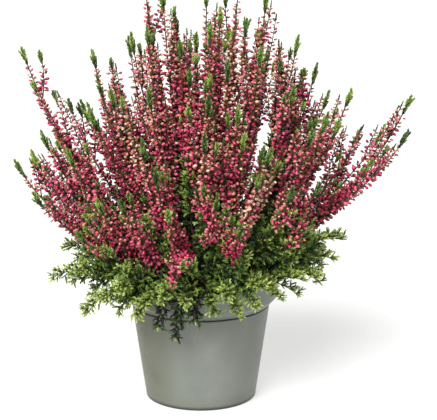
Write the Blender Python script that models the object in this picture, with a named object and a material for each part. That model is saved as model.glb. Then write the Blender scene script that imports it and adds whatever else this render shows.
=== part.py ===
"""A potted heather: a grey plastic pot, its compost, and the sprays that stand in it.

Metres, +Z up. The origin is the middle of the pot's underside, on the surface that it stands on.
-Y is the front and +X the right. Each spray is one solid: a stem that stands in a plain hole in
the compost, with its side shoots, flower buds and leaves grown out of it.
"""

import math
from typing import NamedTuple

import bmesh
import bpy
import numpy as np
from mathutils import Matrix, Vector

MM = 0.001

# The pot, a tapered tub with a deep collar and an open top
RIM_RADIUS = 65.0 * MM
COLLAR_FOOT_RADIUS = 63.2 * MM
COLLAR_FOOT_HEIGHT = 87.0 * MM
BODY_TOP_RADIUS = 56.8 * MM
BODY_TOP_HEIGHT = 80.0 * MM
BASE_RADIUS = 45.2 * MM
POT_HEIGHT = 104.0 * MM
POT_WALL = 1.3 * MM
BASE_THICKNESS = 2.4 * MM
DRAIN_CHANNEL_INNER = 31.0 * MM
DRAIN_CHANNEL_OUTER = 41.0 * MM
DRAIN_CHANNEL_DEPTH = 1.2 * MM
DRAIN_HOLE_RADIUS = 3.6 * MM
DRAIN_HOLES = 6
DRAIN_HOLE_SIDES = 8
POT_EDGE = 0.7 * MM
POT_SIDES = 32

# The compost, a plug that fills the pot to just under its collar's lip
COMPOST_SIDES = 18
COMPOST_CLEARANCE = 0.3 * MM
COMPOST_EDGE_HEIGHT = 91.0 * MM
COMPOST_MOUND = 4.0 * MM
COMPOST_RELIEF = 0.8 * MM
STEM_HOLE_DEPTH = 11.0 * MM
STEM_HOLE_PLAY = 0.4 * MM
STEM_HOLE_SIDES = 4
STEM_ROOT_ROOM = 3.2 * MM
COMPOST_RINGS = (0.92, 0.66, 0.34, 0)

# Where stems stand, and how shoots fork and make room for each other
ROOT_SHARE = 0.24
ROOT_SPREAD = 38.0 * MM
ROOT_LIMIT = 47.0 * MM
STEM_FOOT = 3.0 * MM
FORK_AT = 0.28
FORK_STEP = 0.10
HANDLE_SHARE = 0.36
MOST_LEAN = math.radians(150)
SPRAY_CLEARANCE = 0.9 * MM
POT_CLEARANCE = 3.8 * MM
SETTLING_ROUNDS = 80
SETTLING_PACE = 0.9
WATCHED_DISTANCE = 35.0 * MM
FREE_FORK_POINTS = 3
FORK_FADE_POINTS = 4

# Each tooth's point stands this share of its ring gap further along than the middle of its face
TOOTH_LIFT = 0.26
SHOOT_POINT = 3.0 * MM

# The materials of a spray, by their place in its list
STEM, BLOOM, LEAF = range(3)

# Tips of the flowering spikes of each spray, main stem first, in millimetres: across, depth, height
FLOWERING_SPRAYS = (
    ((-44, 10, 343), (-56, 17, 301)),
    ((-30, 2, 337), (-20, 30, 311)),
    ((-42, -17, 311), (-40, -46, 268)),
    ((-16, -24, 301), (-8, -50, 284)),
    ((5, 22, 334), (-3, -2, 304)),
    ((8, -24, 316), (7, -66, 266)),
    ((31, 24, 346), (16, 8, 321)),
    ((37, -12, 317), (22, -50, 291)),
    ((53, 2, 335), (48, 46, 298)),
    ((48, -34, 298), (30, -66, 257)),
    ((79, 10, 300), (74, -36, 267)),
    ((95, 26, 274), (106, 46, 247)),
    ((122, 8, 256), (111, -20, 236)),
    ((101, -36, 246), (88, -62, 238)),
    ((170, 2, 252), (166, -20, 228), (150, 12, 226)),
    ((-71, -24, 262), (-82, -8, 268), (-86, -34, 246)),
    ((-88, 20, 286), (-99, 42, 240)),
    ((-144, 10, 290), (-120, 34, 216)),
    ((-128, -12, 226), (-104, -52, 220)),
    ((-148, -28, 206), (-132, -48, 184)),
    ((-79, -93, 190), (-96, -78, 160)),
    ((-60, -112, 194), (-44, -88, 236)),
    ((-34, -102, 216), (-24, -120, 188), (-12, -134, 152)),
    ((4, -90, 242), (14, -116, 200)),
    ((46, -104, 212), (32, -124, 178)),
    ((34, -82, 238), (56, -74, 226)),
    ((72, -94, 200), (94, -64, 196), (88, -88, 168)),
    ((-112, 76, 234), (-86, 102, 202)),
    ((-60, 60, 290), (-72, 88, 244)),
    ((-22, 70, 302), (-34, 106, 240)),
    ((16, 62, 314), (6, 98, 264)),
    ((56, 82, 276), (40, 120, 214)),
    ((86, 66, 262), (108, 88, 212)),
    ((134, 56, 214), (138, 84, 172)),
    ((-142, 56, 194), (-124, 88, 160)),
    ((-14, 136, 194), (-56, 128, 182)),
    ((76, 118, 188), (22, 142, 168)),
)

# Tips of the leafy shoots of each spray, in millimetres: across, depth, height. The first twelve
# sprays hang over the rim, and the rest stand up between the flowering stems
LEAFY_SPRAYS = (
    ((-4, -84, 86), (-20, -78, 68), (12, -88, 94), (-12, -98, 106)),
    ((-34, -80, 80), (-52, -78, 90), (-28, -100, 112), (-46, -94, 104)),
    ((-66, -76, 94), (-93, -72, 92), (-78, -86, 108), (-60, -94, 120)),
    ((-118, -60, 118), (-106, -34, 106), (-98, -74, 124), (-88, -50, 98)),
    ((30, -84, 92), (46, -80, 98), (22, -100, 112), (52, -92, 118)),
    ((66, -68, 100), (84, -72, 118), (80, -48, 98), (96, -52, 114)),
    ((114, -20, 141), (110, -40, 126), (100, -12, 112), (98, -30, 102)),
    ((104, 26, 116), (120, 8, 130), (92, 46, 106), (88, 20, 98)),
    ((74, 70, 110), (92, 60, 130), (52, 84, 102), (62, 62, 96)),
    ((4, 98, 108), (28, 94, 122), (-20, 90, 100), (14, 80, 90)),
    ((-62, 76, 110), (-40, 92, 122), (-84, 58, 102), (-50, 70, 94)),
    ((-106, 22, 110), (-114, 0, 126), (-96, 44, 106), (-88, 14, 96)),
    ((-76, -84, 150), (-60, -98, 136), (-90, -60, 142)),
    ((-24, -78, 164), (-42, -72, 174), (-8, -100, 140)),
    ((20, -82, 162), (36, -96, 146), (48, -70, 172)),
    ((78, -70, 146), (62, -58, 166), (98, -50, 150)),
    ((30, 80, 160), (58, 70, 164), (-6, 86, 156)),
    ((-58, 62, 164), (-84, 30, 158), (-34, 84, 150)),
)


class Habit(NamedTuple):
    """How one kind of shoot grows. Its core is three-cornered, and teeth stand out of it to its reach."""

    root_radius: float
    stem_radius: float
    core_radius: float
    reach: float
    bare_share: float
    side_bare_share: float
    least_bare: float
    tooth_pitch: float
    course_points: int
    start_lean: float
    end_lean: float
    root_spread: float
    flowering: bool


FLOWERING = Habit(
    root_radius=1.7 * MM,
    stem_radius=1.2 * MM,
    core_radius=2.1 * MM,
    reach=4.6 * MM,
    bare_share=0.36,
    side_bare_share=0.10,
    least_bare=8 * MM,
    tooth_pitch=17.5 * MM,
    course_points=15,
    start_lean=1.12,
    end_lean=0.55,
    root_spread=1.0,
    flowering=True,
)
UPRIGHT = FLOWERING._replace(
    root_radius=1.3 * MM,
    stem_radius=1.4 * MM,
    core_radius=1.4 * MM,
    reach=3.5 * MM,
    bare_share=0.45,
    side_bare_share=0.12,
    least_bare=5 * MM,
    tooth_pitch=15 * MM,
    course_points=10,
    root_spread=1.2,
    flowering=False,
)
HANGING = UPRIGHT._replace(start_lean=0.62, end_lean=1.35)
HANGING_SPRAYS = 12

# The green end of a flowering spike, as shares of its length from the tip, and the teeth there
GREEN_TIP = 19.0 * MM
GREEN_RINGS = ((0.5, 1.5 * MM, 1.7 * MM), (0.08, 0.9 * MM, 1.3 * MM))
BUD_HEIGHT = 3.6 * MM
LEAF_HEIGHT = 2.4 * MM


def linear(hex_colour):
    """An sRGB hex colour as linear red, green, blue and alpha."""
    channels = [int(hex_colour[i : i + 2], 16) / 255 for i in (1, 3, 5)]
    return [c / 12.92 if c < 0.04045 else ((c + 0.055) / 1.055) ** 2.4 for c in channels] + [1.0]


def make_material(name, hex_colour, roughness):
    """A plain Principled material."""
    material = bpy.data.materials.new(name)
    material.use_nodes = True
    shader = material.node_tree.nodes["Principled BSDF"]
    shader.inputs["Base Color"].default_value = linear(hex_colour)
    shader.inputs["Roughness"].default_value = roughness
    shader.inputs["Metallic"].default_value = 0.0
    return material


def add_object(name, mesh_source, materials):
    """Puts a finished bmesh into the scene as a named object, and frees the bmesh."""
    mesh = bpy.data.meshes.new(name)
    mesh_source.to_mesh(mesh)
    mesh_source.free()
    made = bpy.data.objects.new(name, mesh)
    for material in materials:
        mesh.materials.append(material)
    bpy.context.scene.collection.objects.link(made)
    return made


def combine(target, helpers, operation):
    """Joins the helpers to the target, or cuts them from it, by one applied Boolean, and removes them."""
    collection = bpy.data.collections.new(target.name + "_helpers")
    bpy.context.scene.collection.children.link(collection)
    for helper in helpers:
        for owner in helper.users_collection:
            owner.objects.unlink(helper)
        collection.objects.link(helper)
    modifier = target.modifiers.new("combine", "BOOLEAN")
    modifier.operation = operation
    modifier.operand_type = "COLLECTION"
    modifier.collection = collection
    modifier.solver = "EXACT"
    with bpy.context.temp_override(object=target, active_object=target):
        bpy.ops.object.modifier_apply(modifier=modifier.name)
    for helper in helpers:
        bpy.data.objects.remove(helper)
    bpy.data.collections.remove(collection)


def turned(profile, sides):
    """A bmesh turned round Z from a profile of (radius, height) that starts and ends on the axis."""
    bm = bmesh.new()
    points = [bm.verts.new((radius, 0, height)) for radius, height in profile]
    edges = [bm.edges.new(pair) for pair in zip(points, points[1:])]
    bmesh.ops.spin(
        bm,
        geom=points + edges,
        cent=(0, 0, 0),
        axis=(0, 0, 1),
        angle=math.tau,
        steps=sides,
        use_merge=True,
    )
    bmesh.ops.remove_doubles(bm, verts=bm.verts, dist=0.01 * MM)
    bmesh.ops.recalc_face_normals(bm, faces=bm.faces)
    return bm


def build_pot(plastic):
    """The pot: a thin wall with a stepped collar, and a base with holes in a shallow channel."""
    edge = POT_EDGE
    profile = (
        (0, 0),
        (DRAIN_CHANNEL_INNER, 0),
        (DRAIN_CHANNEL_INNER + edge, DRAIN_CHANNEL_DEPTH),
        (DRAIN_CHANNEL_OUTER - edge, DRAIN_CHANNEL_DEPTH),
        (DRAIN_CHANNEL_OUTER, 0),
        (BASE_RADIUS - edge, 0),
        (BASE_RADIUS, edge),
        (BODY_TOP_RADIUS, BODY_TOP_HEIGHT),
        (COLLAR_FOOT_RADIUS, COLLAR_FOOT_HEIGHT),
        (RIM_RADIUS, POT_HEIGHT - edge),
        (RIM_RADIUS - edge, POT_HEIGHT),
        (RIM_RADIUS - 2 * edge, POT_HEIGHT - edge),
        (COLLAR_FOOT_RADIUS - POT_WALL, COLLAR_FOOT_HEIGHT + POT_WALL),
        (BODY_TOP_RADIUS - POT_WALL, BODY_TOP_HEIGHT + POT_WALL),
        (BASE_RADIUS - POT_WALL, BASE_THICKNESS),
        (0, BASE_THICKNESS),
    )
    pot = add_object("pot", turned(profile, POT_SIDES), [plastic])
    circle_radius = (DRAIN_CHANNEL_INNER + DRAIN_CHANNEL_OUTER) / 2
    drills = []
    for i in range(DRAIN_HOLES):
        angle = math.tau * (i + 0.5) / DRAIN_HOLES
        place = Vector((circle_radius * math.cos(angle), circle_radius * math.sin(angle), 0))
        low, high = -BASE_THICKNESS, 2 * BASE_THICKNESS
        drills.append(drill(place, DRAIN_HOLE_RADIUS, low, high, DRAIN_HOLE_SIDES))
    combine(pot, drills, "DIFFERENCE")
    return pot


def drill(place, radius, low, high, sides):
    """An upright prism that a Boolean cuts away, from low to high above the place."""
    bm = bmesh.new()
    bmesh.ops.create_cone(
        bm, cap_ends=True, segments=sides, radius1=radius, radius2=radius, depth=high - low
    )
    bmesh.ops.translate(bm, vec=place + Vector((0, 0, (low + high) / 2)), verts=bm.verts)
    return add_object("drill", bm, [])


def compost_height(x, y):
    """Height of the compost's loose, slightly mounded top."""
    share = min(1.0, math.hypot(x, y) / COLLAR_FOOT_RADIUS)
    relief = math.sin(x / (5.3 * MM)) * math.cos(y / (6.1 * MM) + x / (19 * MM))
    return COMPOST_EDGE_HEIGHT + COMPOST_MOUND * (1 - share * share) + COMPOST_RELIEF * relief


def build_compost(peat, roots):
    """The root ball: a plug of compost that stays clear of the pot, with a plain hole for each stem."""
    gap = COMPOST_CLEARANCE + POT_WALL
    upper_gap = gap + POT_WALL / 3
    bottom = BASE_THICKNESS + COMPOST_CLEARANCE
    slope = (RIM_RADIUS - COLLAR_FOOT_RADIUS) / (POT_HEIGHT - COLLAR_FOOT_HEIGHT)
    edge_radius = COLLAR_FOOT_RADIUS - upper_gap + slope * (COMPOST_EDGE_HEIGHT - COLLAR_FOOT_HEIGHT)
    side = (
        (0, bottom),
        (BASE_RADIUS - gap, bottom),
        (BODY_TOP_RADIUS - gap, BODY_TOP_HEIGHT + POT_WALL),
        (COLLAR_FOOT_RADIUS - upper_gap, COLLAR_FOOT_HEIGHT + POT_WALL),
        (edge_radius, COMPOST_EDGE_HEIGHT - COMPOST_RELIEF),
    )
    top = [(edge_radius * share, COMPOST_EDGE_HEIGHT) for share in COMPOST_RINGS]
    bm = turned(list(side) + top, COMPOST_SIDES)
    for vert in bm.verts:
        if vert.co.z > COMPOST_EDGE_HEIGHT - COMPOST_RELIEF / 2:
            vert.co.z = compost_height(vert.co.x, vert.co.y)
    compost = add_object("compost", bm, [peat])
    drills = []
    for foot, radius in roots:
        corner = (radius + STEM_HOLE_PLAY) / math.cos(math.pi / STEM_HOLE_SIDES)
        top = 2 * STEM_HOLE_DEPTH
        drills.append(drill(Vector(foot), corner, -STEM_HOLE_PLAY, top, STEM_HOLE_SIDES))
    combine(compost, drills, "DIFFERENCE")
    return compost


class Shoot:
    """One shoot as the line that it follows, with the room that it needs round each point."""

    def __init__(self, spray, habit, points, main=None, fork=0):
        self.spray = spray
        self.habit = habit
        self.points = points
        self.main = main
        self.fork = fork
        self.room = self.room_along()

    def room_along(self):
        """The radius kept clear round each point: slim on the bare stem, wide where teeth stand."""
        share = np.linspace(0, 1, len(self.points))
        if self.main is not None:
            share = FORK_AT + (1 - FORK_AT) * share
        is_bare = share < self.habit.bare_share - 0.04
        room = np.where(is_bare, self.habit.root_radius, self.habit.reach)
        if self.main is None:
            room[:2] = STEM_ROOT_ROOM
        return room


def bezier(start, start_handle, end_handle, end, count):
    """Points along a cubic Bezier curve."""
    t = np.linspace(0, 1, count)[:, None]
    return (
        (1 - t) ** 3 * start
        + 3 * (1 - t) ** 2 * t * start_handle
        + 3 * (1 - t) * t**2 * end_handle
        + t**3 * end
    )


def leaning(outward, lean):
    """A unit direction that leans from upright towards the outward direction."""
    return np.array([outward[0] * math.sin(lean), outward[1] * math.sin(lean), math.cos(lean)])


def course(start, tip, start_lean, end_lean, count):
    """A smooth line from start to tip. The leans are shares of the straight line's own lean."""
    chord = tip - start
    length = np.linalg.norm(chord)
    across = np.linalg.norm(chord[:2])
    outward = chord[:2] / max(across, 1 * MM)
    lean = math.atan2(across, chord[2])
    handle = length * HANDLE_SHARE
    start_handle = start + leaning(outward, lean * start_lean) * handle
    end_handle = tip - leaning(outward, min(lean * end_lean, MOST_LEAN)) * handle
    return bezier(start, start_handle, end_handle, tip, count)


def root_place(tips, spread):
    """Where a spray's stem leaves the compost: under its tips, but drawn in towards the middle."""
    across = np.mean(tips, axis=0)[:2] * ROOT_SHARE
    across *= spread * min(1.0, ROOT_SPREAD / np.linalg.norm(across))
    return np.array([across[0], across[1], compost_height(*across)])


def habit_of(spray):
    """The habit of a spray, by its number in the two lists taken together."""
    if spray < len(FLOWERING_SPRAYS):
        return FLOWERING
    return HANGING if spray < len(FLOWERING_SPRAYS) + HANGING_SPRAYS else UPRIGHT


def plan_shoots():
    """Every shoot's first line, before they make room for each other."""
    shoots = []
    for spray, listed in enumerate(FLOWERING_SPRAYS + LEAFY_SPRAYS):
        habit = habit_of(spray)
        tips = np.array(listed, float) * MM
        root = root_place(tips, habit.root_spread)
        foot = root + (0, 0, STEM_FOOT)
        count = habit.course_points
        above = course(foot, tips[0], habit.start_lean, habit.end_lean, count)
        sunk = root - (0, 0, STEM_HOLE_DEPTH)
        main_shoot = Shoot(spray, habit, np.vstack([sunk, above]))
        shoots.append(main_shoot)
        for k, tip in enumerate(tips[1:]):
            fork = round((FORK_AT + FORK_STEP * k) * count)
            side = course(main_shoot.points[fork], tip, 1.0, habit.end_lean, count - fork)
            shoots.append(Shoot(spray, habit, side, main_shoot, fork))
    return shoots


def nearest_between(a0, a1, b0, b1):
    """The shares along two sets of segments where each pair is closest, and the vector between."""
    d1, d2, r = a1 - a0, b1 - b0, a0 - b0
    a = np.einsum("ij,ij->i", d1, d1) + 1e-12
    e = np.einsum("ij,ij->i", d2, d2) + 1e-12
    f = np.einsum("ij,ij->i", d2, r)
    c = np.einsum("ij,ij->i", d1, r)
    b = np.einsum("ij,ij->i", d1, d2)
    s = np.clip((b * f - c * e) / (a * e - b * b + 1e-15), 0, 1)
    t = np.clip((b * s + f) / e, 0, 1)
    s = np.clip((b * t - c) / a, 0, 1)
    return s, t, (a0 + d1 * s[:, None]) - (b0 + d2 * t[:, None])


def gather_segments(shoots):
    """Arrays that say, for each segment, its first point's row, its shoot, spray and order along."""
    first, shoot_of, spray_of, order, side, at = [], [], [], [], [], 0
    for number, shoot in enumerate(shoots):
        count = len(shoot.points)
        first += range(at, at + count - 1)
        shoot_of += [number] * (count - 1)
        spray_of += [shoot.spray] * (count - 1)
        order += range(count - 1)
        side += [shoot.main is not None] * (count - 1)
        at += count
    return [np.array(x) for x in (first, shoot_of, spray_of, order, side)]


def neighbours(points, segments):
    """Pairs of segments that are near enough to need watching, fresh forks of a spray left out."""
    first, shoot_of, spray_of, order, side = segments
    middle = (points[first] + points[first + 1]) / 2
    near = np.linalg.norm(middle[:, None] - middle[None], axis=2) < WATCHED_DISTANCE
    i, j = np.nonzero(np.triu(near, 1))
    past_fork = ~(side[i] & (order[i] < FREE_FORK_POINTS))
    past_fork &= ~(side[j] & (order[j] < FREE_FORK_POINTS))
    keep = (spray_of[i] != spray_of[j]) | ((shoot_of[i] != shoot_of[j]) & past_fork)
    return i[keep], j[keep]


def crowding_push(points, room, first, pairs):
    """How far each point has to move so that shoots stay clear of each other."""
    i, j = pairs
    s, t, gap = nearest_between(
        points[first[i]], points[first[i] + 1], points[first[j]], points[first[j] + 1]
    )
    distance = np.linalg.norm(gap, axis=1)
    needed = np.maximum(room[first[i]], room[first[i] + 1])
    needed = needed + np.maximum(room[first[j]], room[first[j] + 1]) + SPRAY_CLEARANCE
    short = np.clip(needed - distance, 0, None)
    direction = gap / np.maximum(distance, 1e-6)[:, None]
    push = direction * (short * 0.5)[:, None]
    moved = np.zeros_like(points)
    np.add.at(moved, first[i], push * (1 - s)[:, None])
    np.add.at(moved, first[i] + 1, push * s[:, None])
    np.add.at(moved, first[j], -push * (1 - t)[:, None])
    np.add.at(moved, first[j] + 1, -push * t[:, None])
    return moved


def pot_push(points, room):
    """How far each point has to rise to pass over the compost and the pot's rim."""
    radius = np.linalg.norm(points[:, :2], axis=1)
    across = (RIM_RADIUS - 14 * MM, RIM_RADIUS - 7 * MM, RIM_RADIUS + 2 * MM, RIM_RADIUS + 10 * MM)
    levels = (COMPOST_EDGE_HEIGHT + COMPOST_MOUND, POT_HEIGHT, POT_HEIGHT, COLLAR_FOOT_HEIGHT)
    floor = np.interp(radius, across, levels) + room + POT_CLEARANCE
    rise = np.where(radius < across[-1], np.clip(floor - points[:, 2], 0, None), 0)
    return rise[:, None] * (0, 0, 1)


def smoothed(push, times):
    """A push spread along its shoot, so that a bent stem stays a smooth curve."""
    for _ in range(times):
        padded = np.vstack([push[:1], push, push[-1:]])
        push = 0.25 * padded[:-2] + 0.5 * padded[1:-1] + 0.25 * padded[2:]
    return push


def move_shoot(shoot, push):
    """Moves a shoot by a smoothed push. The foot of a main stem moves as one, and stays in the compost."""
    push = push * SETTLING_PACE
    if shoot.main is not None:
        shoot.points = shoot.points + smoothed(push, 2)
        return
    foot = (push[0] + push[1]) * (0.5, 0.5, 0)
    push[:2] = foot
    push[2:] = smoothed(push, 2)[2:]
    shoot.points = shoot.points + push
    reach = np.linalg.norm(shoot.points[0, :2])
    shoot.points[:2, :2] *= min(1.0, ROOT_LIMIT / max(reach, 1 * MM))


def rejoin(shoot):
    """Brings a side shoot's first points back to its place on the main stem."""
    drift = shoot.main.points[shoot.fork] - shoot.points[0]
    fade = np.clip(1 - np.arange(len(shoot.points)) / FORK_FADE_POINTS, 0, 1)
    shoot.points = shoot.points + drift * fade[:, None]


def settle(shoots):
    """Bends the shoots clear of each other, of the pot and of the compost."""
    segments = gather_segments(shoots)
    starts = np.cumsum([0] + [len(shoot.points) for shoot in shoots])
    room = np.concatenate([shoot.room for shoot in shoots])
    for turn in range(SETTLING_ROUNDS):
        points = np.vstack([shoot.points for shoot in shoots])
        if turn % 8 == 0:
            pairs = neighbours(points, segments)
        push = crowding_push(points, room, segments[0], pairs) + pot_push(points, room)
        for shoot, start, end in zip(shoots, starts, starts[1:]):
            move_shoot(shoot, push[start:end])
        for shoot in shoots:
            if shoot.main is not None:
                rejoin(shoot)


def along(points, distances):
    """The places at these distances along a line of points, and the line's directions there."""
    steps = np.linalg.norm(np.diff(points, axis=0), axis=1)
    reach = np.concatenate([[0], np.cumsum(steps)])
    places = np.stack([np.interp(distances, reach, points[:, k]) for k in range(3)], axis=1)
    ahead = np.stack([np.interp(distances + 2 * MM, reach, points[:, k]) for k in range(3)], axis=1)
    behind = np.stack([np.interp(distances - 2 * MM, reach, points[:, k]) for k in range(3)], axis=1)
    return places, ahead - behind


def length_of(points):
    """The length of a line of points."""
    return float(np.linalg.norm(np.diff(points, axis=0), axis=1).sum())


def ring_steps(old_place, old_direction, new_place, new_direction, scale):
    """Two matrices that carry a ring on along a shoot: straight on with a sixth of a turn, then bent."""
    old_place, new_place = Vector(old_place), Vector(new_place)
    forward, new_forward = Vector(old_direction).normalized(), Vector(new_direction)
    straight = old_place + forward * (new_place - old_place).length
    twist = Matrix.Rotation(math.tau / 6, 4, forward)
    on = Matrix.Translation(straight) @ twist @ Matrix.Scale(scale, 4) @ Matrix.Translation(-old_place)
    bend = forward.rotation_difference(new_forward).to_matrix().to_4x4()
    return on, Matrix.Translation(new_place) @ bend @ Matrix.Translation(-straight)


def toothed_tube(points, rings):
    """A three-cornered tube along a line of points.

    Each ring is (distance, core radius, tooth height, material). Every ring is turned a sixth of a
    turn from the last, so the faces between are triangles, and each is poked out into one bud or
    leaf where the tooth height says so. The last ring closes in a point.
    """
    distances = np.array([ring[0] for ring in rings])
    places, directions = along(points, distances)
    bm = bmesh.new()
    facing = Vector(directions[0]).to_track_quat("Z", "Y").to_matrix().to_4x4()
    first = Matrix.Translation(Vector(places[0])) @ facing
    base = bmesh.ops.create_circle(bm, cap_ends=True, segments=3, radius=rings[0][1], matrix=first)
    bmesh.ops.reverse_faces(bm, faces=bm.faces[:])
    bm.faces.ensure_lookup_table()
    bm.faces[0].material_index = rings[0][3]
    edges = list({edge for vert in base["verts"] for edge in vert.link_edges})
    for k in range(1, len(rings)):
        _, radius, tooth, material = rings[k]
        scale = radius / rings[k - 1][1]
        on, bend = ring_steps(places[k - 1], directions[k - 1], places[k], directions[k], scale)
        made = bmesh.ops.extrude_edge_only(bm, edges=edges)["geom"]
        verts = [part for part in made if isinstance(part, bmesh.types.BMVert)]
        edges = [part for part in made if isinstance(part, bmesh.types.BMEdge)]
        walls = [part for part in made if isinstance(part, bmesh.types.BMFace)]
        edges = [edge for edge in edges if set(edge.verts) <= set(verts)]
        bmesh.ops.transform(bm, matrix=on, verts=verts)
        faces = bmesh.ops.triangulate(bm, faces=walls, quad_method="SHORT_EDGE")["faces"]
        bmesh.ops.transform(bm, matrix=bend, verts=verts)
        for face in faces:
            face.material_index = material
        if tooth:
            new = set(verts)
            raised = [face for face in faces if len(new & set(face.verts)) == 2]
            raise_teeth(bm, raised, tooth, Vector(places[k] - places[k - 1]) * TOOTH_LIFT)
    cap = bmesh.ops.contextual_create(bm, geom=edges)["faces"]
    cap[0].material_index = rings[-1][3]
    point = bmesh.ops.poke(bm, faces=cap, offset=0)["verts"]
    bmesh.ops.translate(bm, vec=Vector(directions[-1]).normalized() * SHOOT_POINT, verts=point)
    bmesh.ops.recalc_face_normals(bm, faces=bm.faces)
    return bm


def raise_teeth(bm, faces, height, lift):
    """Pokes each face out into a pyramid whose point is also lifted along the shoot."""
    for face in faces:
        face.normal_update()
    points = bmesh.ops.poke(bm, faces=faces, offset=height)["verts"]
    bmesh.ops.translate(bm, vec=lift, verts=points)


def bare_rings(length, habit, is_main):
    """The rings of the bare stem at a shoot's foot, and where its teeth start."""
    if not is_main:
        bare = max(habit.side_bare_share * length, habit.least_bare)
        return [(0, habit.stem_radius * 0.8, 0, STEM), (bare, habit.stem_radius, 0, STEM)], bare
    bare = habit.bare_share * length
    rings = [
        (0, habit.root_radius, 0, STEM),
        (STEM_HOLE_DEPTH + 2 * MM, habit.root_radius, 0, STEM),
        ((STEM_HOLE_DEPTH + bare) * 0.57, (habit.root_radius + habit.stem_radius) / 2, 0, STEM),
        (bare, habit.stem_radius, 0, STEM),
    ]
    return rings, bare


def spike_rings(length, is_main):
    """The rings of a flowering spike: bare stem, flower buds, then the green tip."""
    rings, bare = bare_rings(length, FLOWERING, is_main)
    buds_length = length - GREEN_TIP - bare
    gaps = max(3, round(buds_length / FLOWERING.tooth_pitch))
    for k in range(1, gaps + 1):
        swell = math.sin(math.pi * (0.25 + 0.6 * k / gaps))
        rings.append((bare + buds_length * k / gaps, FLOWERING.core_radius, BUD_HEIGHT * swell, BLOOM))
    for share, radius, height in GREEN_RINGS:
        rings.append((length - GREEN_TIP * share, radius, height, LEAF))
    return rings


def leafy_rings(length, habit, is_main):
    """The rings of a leafy shoot: a short bare stem, then leaves to its point."""
    rings, bare = bare_rings(length, habit, is_main)
    leafy_length = length - SHOOT_POINT - bare
    gaps = max(2, round(leafy_length / habit.tooth_pitch))
    for k in range(1, gaps + 1):
        radius = habit.core_radius * (1.15 - 0.5 * k / gaps)
        rings.append((bare + leafy_length * k / gaps, radius, LEAF_HEIGHT, LEAF))
    return rings


def build_spray(name, shoots, materials):
    """One spray: its main stem and side shoots, grown together into one solid."""
    made = []
    for shoot in shoots:
        length = length_of(shoot.points)
        is_main = shoot.main is None
        if shoot.habit.flowering:
            rings = spike_rings(length, is_main)
        else:
            rings = leafy_rings(length, shoot.habit, is_main)
        made.append(add_object(name, toothed_tube(shoot.points, rings), materials))
    if len(made) > 1:
        combine(made[0], made[1:], "UNION")
    made[0].name = name
    return made[0]


def main():
    """Builds the whole plant in its pot."""
    for old in list(bpy.data.objects):
        bpy.data.objects.remove(old)
    plastic = make_material("grey_plastic", "#8f918b", 0.42)
    peat = make_material("peat_compost", "#2f231b", 0.95)
    plant = [
        make_material("woody_stem", "#5c4030", 0.8),
        make_material("heather_bloom", "#c23a66", 0.6),
        make_material("heather_leaf", "#6f8f3a", 0.6),
    ]
    shoots = plan_shoots()
    settle(shoots)
    mains = [shoot for shoot in shoots if shoot.main is None]
    build_pot(plastic)
    build_compost(peat, [(shoot.points[0], shoot.habit.root_radius) for shoot in mains])
    for spray, main_shoot in enumerate(mains):
        kind = "flowering" if main_shoot.habit.flowering else "leafy"
        number = spray + 1 if main_shoot.habit.flowering else spray + 1 - len(FLOWERING_SPRAYS)
        own = [shoot for shoot in shoots if shoot.spray == spray]
        build_spray(f"{kind}_spray_{number:02d}", own, plant)


if __name__ == "__main__":
    main()
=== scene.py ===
"""The looks of a potted heather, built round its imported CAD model.

Metres, +Z up. The origin is the middle of the pot's underside, -Y is the front and +X the right.
Every spray is one piece: woody stems, scale leaves and bell-shaped buds that grow along the same
lines as the CAD solids. Those lines are worked out here by the same steps of growth and settling.
"""

from __future__ import annotations

import logging
import math
import random
from dataclasses import dataclass, field, replace
from enum import Enum, IntEnum
from functools import partial
from typing import Any, Callable, Iterator, Sequence

import bmesh
import bpy
import numpy as np
from mathutils import Matrix, Quaternion, Vector, noise

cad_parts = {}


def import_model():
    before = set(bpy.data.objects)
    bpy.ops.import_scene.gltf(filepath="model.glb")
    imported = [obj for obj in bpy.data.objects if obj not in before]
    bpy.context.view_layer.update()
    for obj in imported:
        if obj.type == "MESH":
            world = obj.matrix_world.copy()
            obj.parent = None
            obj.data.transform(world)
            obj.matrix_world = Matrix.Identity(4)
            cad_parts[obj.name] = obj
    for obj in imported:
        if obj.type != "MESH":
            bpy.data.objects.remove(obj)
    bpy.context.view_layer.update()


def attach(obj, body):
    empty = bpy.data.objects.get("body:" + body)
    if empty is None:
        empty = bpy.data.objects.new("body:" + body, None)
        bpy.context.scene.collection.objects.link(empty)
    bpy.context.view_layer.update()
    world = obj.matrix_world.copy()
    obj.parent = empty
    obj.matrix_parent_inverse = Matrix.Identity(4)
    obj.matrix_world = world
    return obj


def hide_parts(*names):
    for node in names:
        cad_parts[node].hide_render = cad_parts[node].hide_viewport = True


log = logging.getLogger("potted_heather")

MM = 0.001
UP = Vector((0.0, 0.0, 1.0))
GOLDEN_ANGLE = math.radians(137.5)
MERGE_DISTANCE = 0.01 * MM

# Numbers that every plant mesh carries on its points: 0 at a part's foot and 1 at its tip, and the
# part's own shade from 0 to 1
AGE = "age"
TINT = "tint"

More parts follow.
